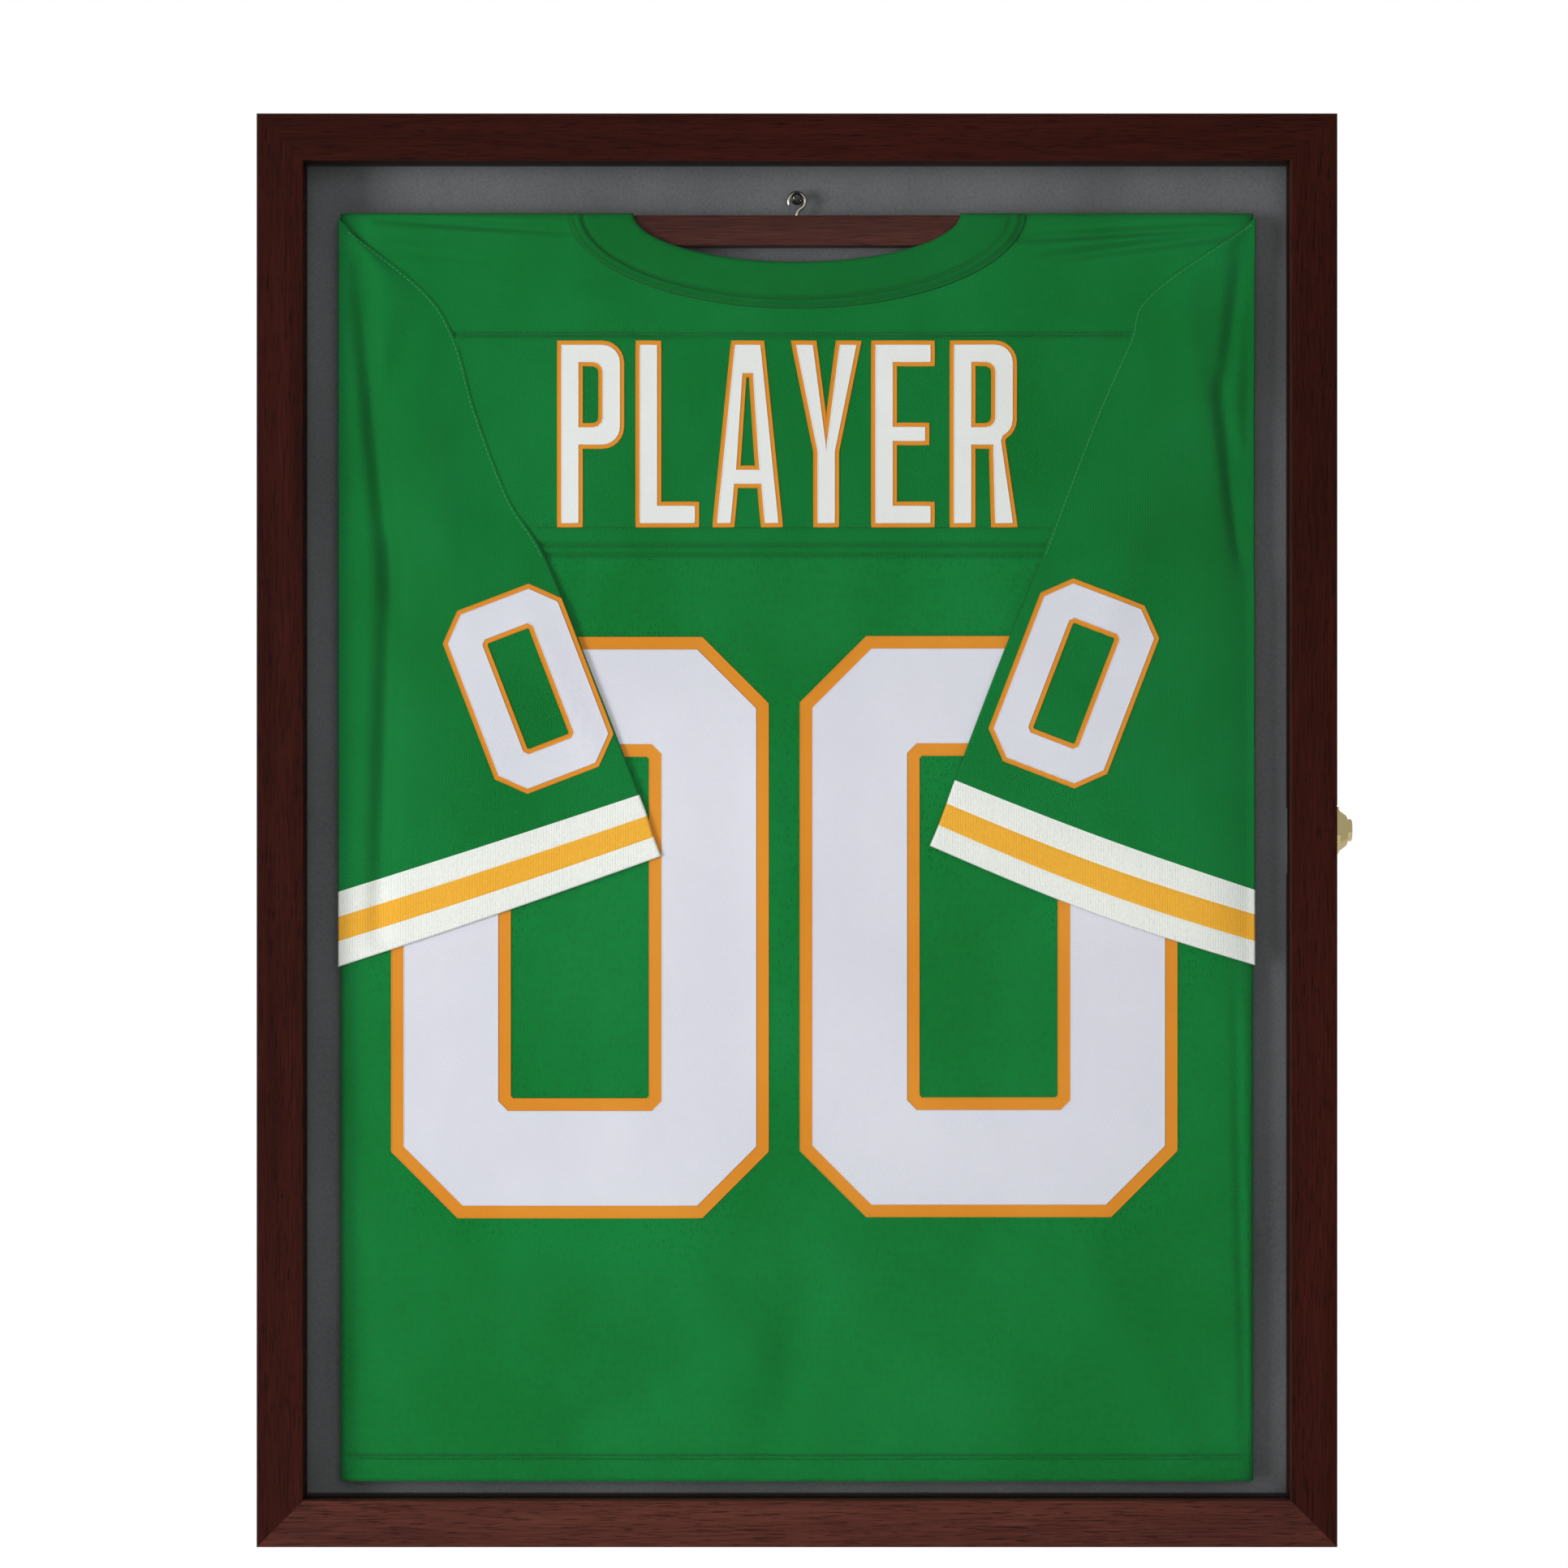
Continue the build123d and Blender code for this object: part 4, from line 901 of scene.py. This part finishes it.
def chamfered(width, height, cut, centre=(0.0, 0.0), lean=0.0, hole=False):
    """A rectangle with cut corners, as an outline that runs anticlockwise, or clockwise for a hole."""
    x, y = width / 2, height / 2
    outline = [
        (x - cut, y), (-x + cut, y), (-x, y - cut), (-x, -y + cut),
        (-x + cut, -y), (x - cut, -y), (x, -y + cut), (x, y - cut),
    ]
    turn = math.radians(lean)
    turned = [
        (
            centre[0] + a * math.cos(turn) - b * math.sin(turn),
            centre[1] + a * math.sin(turn) + b * math.cos(turn),
        )
        for a, b in outline
    ]
    return turned[::-1] if hole else turned


def zero(width, height, stroke, cut, hole_cut, centre, lean=0.0):
    """A block zero: a chamfered outline with a hole."""
    return [
        chamfered(width, height, cut, centre, lean),
        chamfered(width - 2 * stroke, height - 2 * stroke, hole_cut, centre, lean, hole=True),
    ]


# %% [markdown]
# A row of satin stitches covers each raw edge of the twill. It is a thin rounded cord that follows the
# outline over the cloth.


# %% Edge stitching
def edge_cord(name, outlines, tree, radius, proud, finish):
    """A thin cord of thread along each outline, laid on the cloth."""
    curve = bpy.data.curves.new(name, "CURVE")
    curve.dimensions = "3D"
    curve.bevel_depth = radius * MM
    curve.bevel_resolution = 1
    fallback = MIDDLE_DEPTH + HALF_TUBE
    for outline in outlines:
        places = []
        for here, after in zip(outline, outline[1:] + outline[:1]):
            steps = max(1, round(math.dist(here, after) / 5.0))
            places += [
                (here[0] + (after[0] - here[0]) * k / steps, here[1] + (after[1] - here[1]) * k / steps)
                for k in range(steps)
            ]
        spline = curve.splines.new("POLY")
        spline.points.add(len(places) - 1)
        for point, (u, v) in zip(spline.points, places):
            point.co = (*at(u, v, laid_depth(tree, u, v, fallback) + proud), 1)
        spline.use_cyclic_u = True
    cord = bpy.data.objects.new(name, curve)
    bpy.context.scene.collection.objects.link(cord)
    cord.data.materials.append(finish)
    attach(cord, "hanger")
    return cord


def figure(name, figures, tree, border, under, over, nodes=()):
    """Both layers of some figures, with their edge stitching."""
    inner = [[grown(outline, -border) for outline in outlines] for outlines in figures]
    base = sewn_layer(f"{name}_edge", figures, tree, 0.05, 0.45, under)
    top = sewn_layer(f"{name}_face", inner, tree, 0.5, 0.4, over)
    edge_cord(f"{name}_edge_stitch", [o for f in figures for o in f], tree, 0.42, 0.3, under)
    edge_cord(f"{name}_face_stitch", [o for f in inner for o in f], tree, 0.35, 0.75, over)
    for piece in (base, top):
        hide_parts(*nodes)
    return base, top


# %% [markdown]
# The big numbers lie on the body, so their ray must not see the sleeves that cover their upper corners. The
# small numbers lie on the sleeves.

# %% Numbers
body_tree = tree_of([jersey_body])
sleeve_tree = tree_of([left_sleeve, right_sleeve])
BIG = (211, 325, 66.5, 37, 1.5)
big_numbers = [zero(*BIG, (-121.5, -54.7)), zero(*BIG, (107.5, -54.2))]
number_edge, number_face = figure(
    "back_number", big_numbers, body_tree, 7.0, orange_twill, white_twill, ["back_numbers"]
)
SMALL = (70.5, 109, 22.5, 14, 1.0)
small_numbers = [zero(*SMALL, (-150.3, 79.0), 21), zero(*SMALL, (155.0, 82.0), -21)]
small_edge, small_face = figure(
    "sleeve_number", small_numbers, sleeve_tree, 2.6, orange_twill, white_twill, ["sleeve_numbers"]
)


# %% [markdown]
# The word is set in tall narrow capitals with rounded bowls. Each letter is an outline on a grid as wide as
# a letter, and a bowl's corners are short arcs.


# %% The word
LETTER_W, LETTER_H, STROKE = 37.0, 104.0, 13.8
BOWL_LOW = 44.0


def arc(centre, radius, start, end, steps=6):
    angles = [math.radians(start + (end - start) * k / steps) for k in range(steps + 1)]
    return [(centre[0] + radius * math.cos(a), centre[1] + radius * math.sin(a)) for a in angles]


def bowl(round_out=12.0, low=BOWL_LOW):
    """The outside of a bowl on the right of a stem, from its foot up to the top."""
    right, top = LETTER_W, LETTER_H
    return [
        *arc((right - round_out, low + round_out), round_out, -90, 0),
        *arc((right - round_out, top - round_out), round_out, 0, 90),
    ]


def bowl_hole(round_in=3.5, low=BOWL_LOW):
    left, right = STROKE, LETTER_W - STROKE
    low, top = low + STROKE, LETTER_H - STROKE
    return [
        *arc((right - round_in, top - round_in), round_in, 90, 0, 3),
        *arc((right - round_in, low + round_in), round_in, 0, -90, 3),
        (left, low),
        (left, top),
    ]


W, H, S = LETTER_W, LETTER_H, STROKE
LETTERS = {
    "P": [[(0, 0), (S, 0), (S, BOWL_LOW), *bowl(), (0, H)], bowl_hole()],
    "L": [[(0, 0), (W - 2, 0), (W - 2, S), (S, S), (S, H), (0, H)]],
    "A": [
        [(-1, 0), (S - 3, 0), (S - 1, 22), (W - S + 1, 22), (W - S + 3, 0), (W + 1, 0),
         (W / 2 + 9, H), (W / 2 - 9, H)],
        [(S + 0.4, 34), (W / 2 - 1, H - 20), (W / 2 + 1, H - 20), (W - S - 0.4, 34)],
    ],
    "Y": [[(W / 2 - S / 2, 0), (W / 2 + S / 2, 0), (W / 2 + S / 2, 42), (W + 1, H), (W - S + 1, H),
           (W / 2, 60), (S - 1, H), (-1, H), (W / 2 - S / 2, 42)]],
    "E": [[(0, 0), (W - 2, 0), (W - 2, S), (S, S), (S, 46), (W - 5, 46), (W - 5, 58), (S, 58),
           (S, H - S), (W - 2, H - S), (W - 2, H), (0, H)]],
    "R": [[(0, 0), (S, 0), (S, BOWL_LOW), (W - 15, BOWL_LOW), (W - S, 0), (W + 0.5, 0), (W - 6.5,
         BOWL_LOW + 4),
           *arc((W - 12, BOWL_LOW + 16), 12, -60, 0, 4), *arc((W - 12, H - 12), 12, 0, 90), (0, H)],
          bowl_hole()],
}
WORD, WORD_LEFT, WORD_BASE, PITCH = "PLAYER", -134.0, 169.8, 44.0


def placed(outline, left):
    return [(left + x, WORD_BASE + y) for x, y in outline]


letters = [
    [placed(outline, WORD_LEFT + PITCH * i) for outline in LETTERS[letter]] for i, letter in enumerate(WORD)
]
for outlines in letters:
    for hole in outlines[1:]:
        area = sum(a[0] * b[1] - b[0] * a[1] for a, b in zip(hole, hole[1:] + hole[:1]))
        if area > 0:
            hole.reverse()
word_edge, word_face = figure(
    "name_letter", letters, body_tree, 2.3, orange_twill, name_twill, ["name_letters"]
)
print("letters", len(letters), "on", len(word_edge.data.polygons), "faces")

# %% [markdown]
# ### Stitches
# Seams read as seams because of their thread. Each stitch is a tiny rounded bar, and a row of them is one
# mesh: the same little bar copied along a path on the cloth.


# %% Rows of stitches
def stitch_rows(name, paths, tree, pitch, length, radius, finish, proud=0.15):
    """Small bars of thread along paths given in U and V, lying on the cloth."""
    ring, points, faces = 6, [], []
    fallback = MIDDLE_DEPTH + HALF_TUBE
    for path in paths:
        path = np.asarray(path, float)
        steps = np.hypot(*np.diff(path, axis=0).T)
        along = np.concatenate([[0], np.cumsum(steps)])
        for start in np.arange(pitch / 2, along[-1] - length, pitch):
            ends = [
                np.array([np.interp(x, along, path[:, 0]), np.interp(x, along, path[:, 1])])
                for x in (start, start + length)
            ]
            first = len(points)
            a, b = (at(*e, laid_depth(tree, *e, fallback) + proud) for e in ends)
            forward = (b - a) / np.linalg.norm(b - a)
            side = np.cross(forward, (0, -1, 0))
            side /= np.linalg.norm(side)
            up = np.cross(side, forward)
            for share, thick in ((0, 0.35), (0.18, 1), (0.82, 1), (1, 0.35)):
                for k in range(ring):
                    turn = 2 * math.pi * k / ring
                    out = math.cos(turn) * side + math.sin(turn) * up
                    points.append(a + (b - a) * share + out * thick * radius * MM)
            for level in range(3):
                for k in range(ring):
                    n = (k + 1) % ring
                    base = first + level * ring
                    faces.append((base + k, base + n, base + ring + n, base + ring + k))
            faces.append(tuple(first + k for k in reversed(range(ring))))
            faces.append(tuple(first + 3 * ring + k for k in range(ring)))
    piece = new_piece(name, points, faces, [finish], weld=1e-7)
    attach(piece, "hanger")
    return piece


thread_green = metal("green thread", colour(4, 74, 28), 0.6, 0.1, metallic=0.0)
pale_thread = metal("pale green thread", colour(52, 150, 88), 0.6, 0.1, metallic=0.0)


def half_ellipse(axes, drop=0.0, steps=120):
    angles = np.linspace(np.pi * 1.02, np.pi * 1.98, steps)
    return np.stack([axes[0] * np.cos(angles), FOLD_TOP + axes[1] * np.sin(angles) - drop], axis=1)


collar_tree = tree_of([jersey_body, jersey_collar])
grow = np.array(COLLAR_OUTER) - np.array(NECK)
collar_stitches = stitch_rows(
    "collar_stitches",
    [half_ellipse(np.array(NECK) + grow * share) for share in (0.77, 0.93)],
    collar_tree, 2.6, 2.1, 0.26, thread_green,
)


def straight(v, u_low, u_high, bow=0.0):
    u = np.linspace(u_low, u_high, 60)
    return np.stack([u, v - bow * np.sin(np.pi * (u - u_low) / (u_high - u_low))], axis=1)


body_stitches = stitch_rows(
    "body_stitches",
    [
        straight(YOKE_SEAM + 0.9, -189, 185),
        straight(YOKE_SEAM - 0.9, -189, 185),
        straight(WAIST_SEAMS[0], -148, 143),
        straight(WAIST_SEAMS[1], -144, 140),
        straight(WAIST_SEAMS[2], -141, 138),
        straight(HEM_SEAM + 0.8, -250, 250),
        straight(HEM_SEAM - 1.4, -250, 250),
    ],
    body_tree, 2.6, 2.1, 0.26, thread_green,
)


def armhole(edges, back=2.2, until=SEAM_END):
    """A line just inside the sleeve along its seam to the yoke."""
    places = sleeve_places()
    keep = places <= until
    u, v = edges[1][keep, 0], edges[2][keep, 0]
    outward = np.sign(u) * back
    return np.stack([u + outward * 0.6, v - back * 0.6], axis=1)


sleeve_stitches = stitch_rows(
    "sleeve_stitches", [armhole(left_edges), armhole(right_edges)], sleeve_tree, 2.8, 2.1, 0.2, pale_thread
)
print("stitches", len(collar_stitches.data.polygons) + len(body_stitches.data.polygons), "faces")

# %% [markdown]
# ### The lining
# The grey lining is stretched over the backing board. It is replaced by a finer sheet with the same edges,
# so that it can have the slight waviness of cloth pulled over a board.

# %% The lining
fabric_low, fabric_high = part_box("backing_fabric")
LINING_FRONT = -fabric_low[1] / MM
lining_half_u = (fabric_high[0] - fabric_low[0]) / 2 / MM
lining_half_v = (fabric_high[2] - fabric_low[2]) / 2 / MM
lining_u, lining_v = np.meshgrid(
    np.linspace(-lining_half_u, lining_half_u, 97), np.linspace(-lining_half_v, lining_half_v, 129)
)
wave = 0.12 * np.sin(lining_u / 37 + 1.0) * np.sin(lining_v / 51)
wave = wave + 0.08 * np.sin(lining_v / 23 + lining_u / 61)
lining = new_piece(
    "grey_lining", at(lining_u, lining_v, LINING_FRONT - 0.25 + wave),
    grid_faces(*lining_u.shape), [lining_grey]
)
if sum(face.normal.y for face in lining.data.polygons) > 0:
    lining.data.flip_normals()
thicken(lining, 0.6)
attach(lining, "case")
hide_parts("backing_fabric")

# %% [markdown]


# %% [markdown]
# ## Stage, light and camera
# The case hangs free above a pale floor. A soft lamp far to the left is the main light. It rakes across the
# cloth, so that folds show, and stands far enough to the side that the acrylic doesn't mirror it. A wide
# lamp in front opens the shadows and is kept out of the reflections. The world is white to look at and dim
# as a light. The plain view transform keeps the dyes of the cloth as strong as they are.

# %% Floor
FLOOR_DROP = 0.85
floor_z = CENTRE_Z - CASE_HALF_HEIGHT * MM - FLOOR_DROP
floor_points = [(x, y, floor_z) for x, y in ((-2.4, -2.4), (2.4, -2.4), (2.4, 2.4), (-2.4, 2.4))]
floor_finish, floor_tree, floor_shader = start_material("pale floor", Roughness=0.8)
floor_noise = add_node(
    floor_tree, "TexNoise",
    {"Vector": stretched_coordinates(floor_tree, (6, 6, 6)), "Scale": 1.0, "Detail": 3.0},
)
floor_tone = ramp(
    floor_tree, floor_noise.outputs["Fac"], [(0.3, (0.80, 0.80, 0.80, 1)), (0.7, (0.84, 0.84, 0.84, 1))]
)
floor_tree.links.new(floor_tone, floor_shader.inputs["Base Color"])
floor = new_piece("floor", floor_points, [(0, 1, 2, 3)], [floor_finish])


# %% [markdown]
# A large soft lamp on the left, level with the case, brings out the folds. A weaker one in front fills the
# shadows, and one behind lights the edges.

# %% Lamps and world
def soft_lamp(name, place, size, power, tint=(1, 1, 1)):
    """A square area lamp aimed at the middle of the case."""
    lamp = bpy.data.lights.new(name, "AREA")
    lamp.size, lamp.energy, lamp.color = size, power, tint
    holder = bpy.data.objects.new(name, lamp)
    holder.location = place
    aim = Vector((0, 0, CENTRE_Z)) - Vector(place)
    holder.rotation_euler = aim.to_track_quat("-Z", "Y").to_euler()
    bpy.context.scene.collection.objects.link(holder)
    return holder


soft_lamp("key", place=(-3.84, -3.36, CENTRE_Z - 0.3), size=2.2, power=220)
front_lamp = soft_lamp("front", place=(0.3, -4.2, CENTRE_Z + 0.6), size=1.6, power=44)
front_lamp.visible_glossy = False
soft_lamp("behind", place=(0.9, 2.4, CENTRE_Z + 1.0), size=1.4, power=30)

world = bpy.data.worlds.new("studio")
bpy.context.scene.world = world
world.use_nodes = True
world_tree = world.node_tree
seen = add_node(world_tree, "Background", {"Color": (1, 1, 1, 1), "Strength": 1.0})
felt = world_tree.nodes["Background"]
felt.inputs["Color"].default_value = (1, 1, 1, 1)
felt.inputs["Strength"].default_value = 0.46
path = add_node(world_tree, "LightPath")
chosen = add_node(
    world_tree, "MixShader", {0: path.outputs["Is Camera Ray"], 1: felt.outputs[0], 2: seen.outputs[0]},
)
world_tree.links.new(chosen.outputs[0], world_tree.nodes["World Output"].inputs["Surface"])
bpy.context.scene.view_settings.view_transform = "Standard"

# %% [markdown]
# The camera looks straight at the case from a little left of and above its middle, from far enough away
# that the frame's sides stay straight and its inner walls show only as thin dark bands.

# %% Camera
CAMERA_DISTANCE = 2.6
VIEW_WIDTH = 0.8703
camera_data = bpy.data.cameras.new("camera")
camera_data.sensor_width = 36
camera_data.lens = 36 * CAMERA_DISTANCE / VIEW_WIDTH
camera = bpy.data.objects.new("camera", camera_data)
camera.location = (-0.0072, -DOOR_FRONT * MM - CAMERA_DISTANCE, CENTRE_Z + 0.0257)
camera.rotation_euler = (math.radians(90), 0, 0)
bpy.context.scene.collection.objects.link(camera)
bpy.context.scene.camera = camera
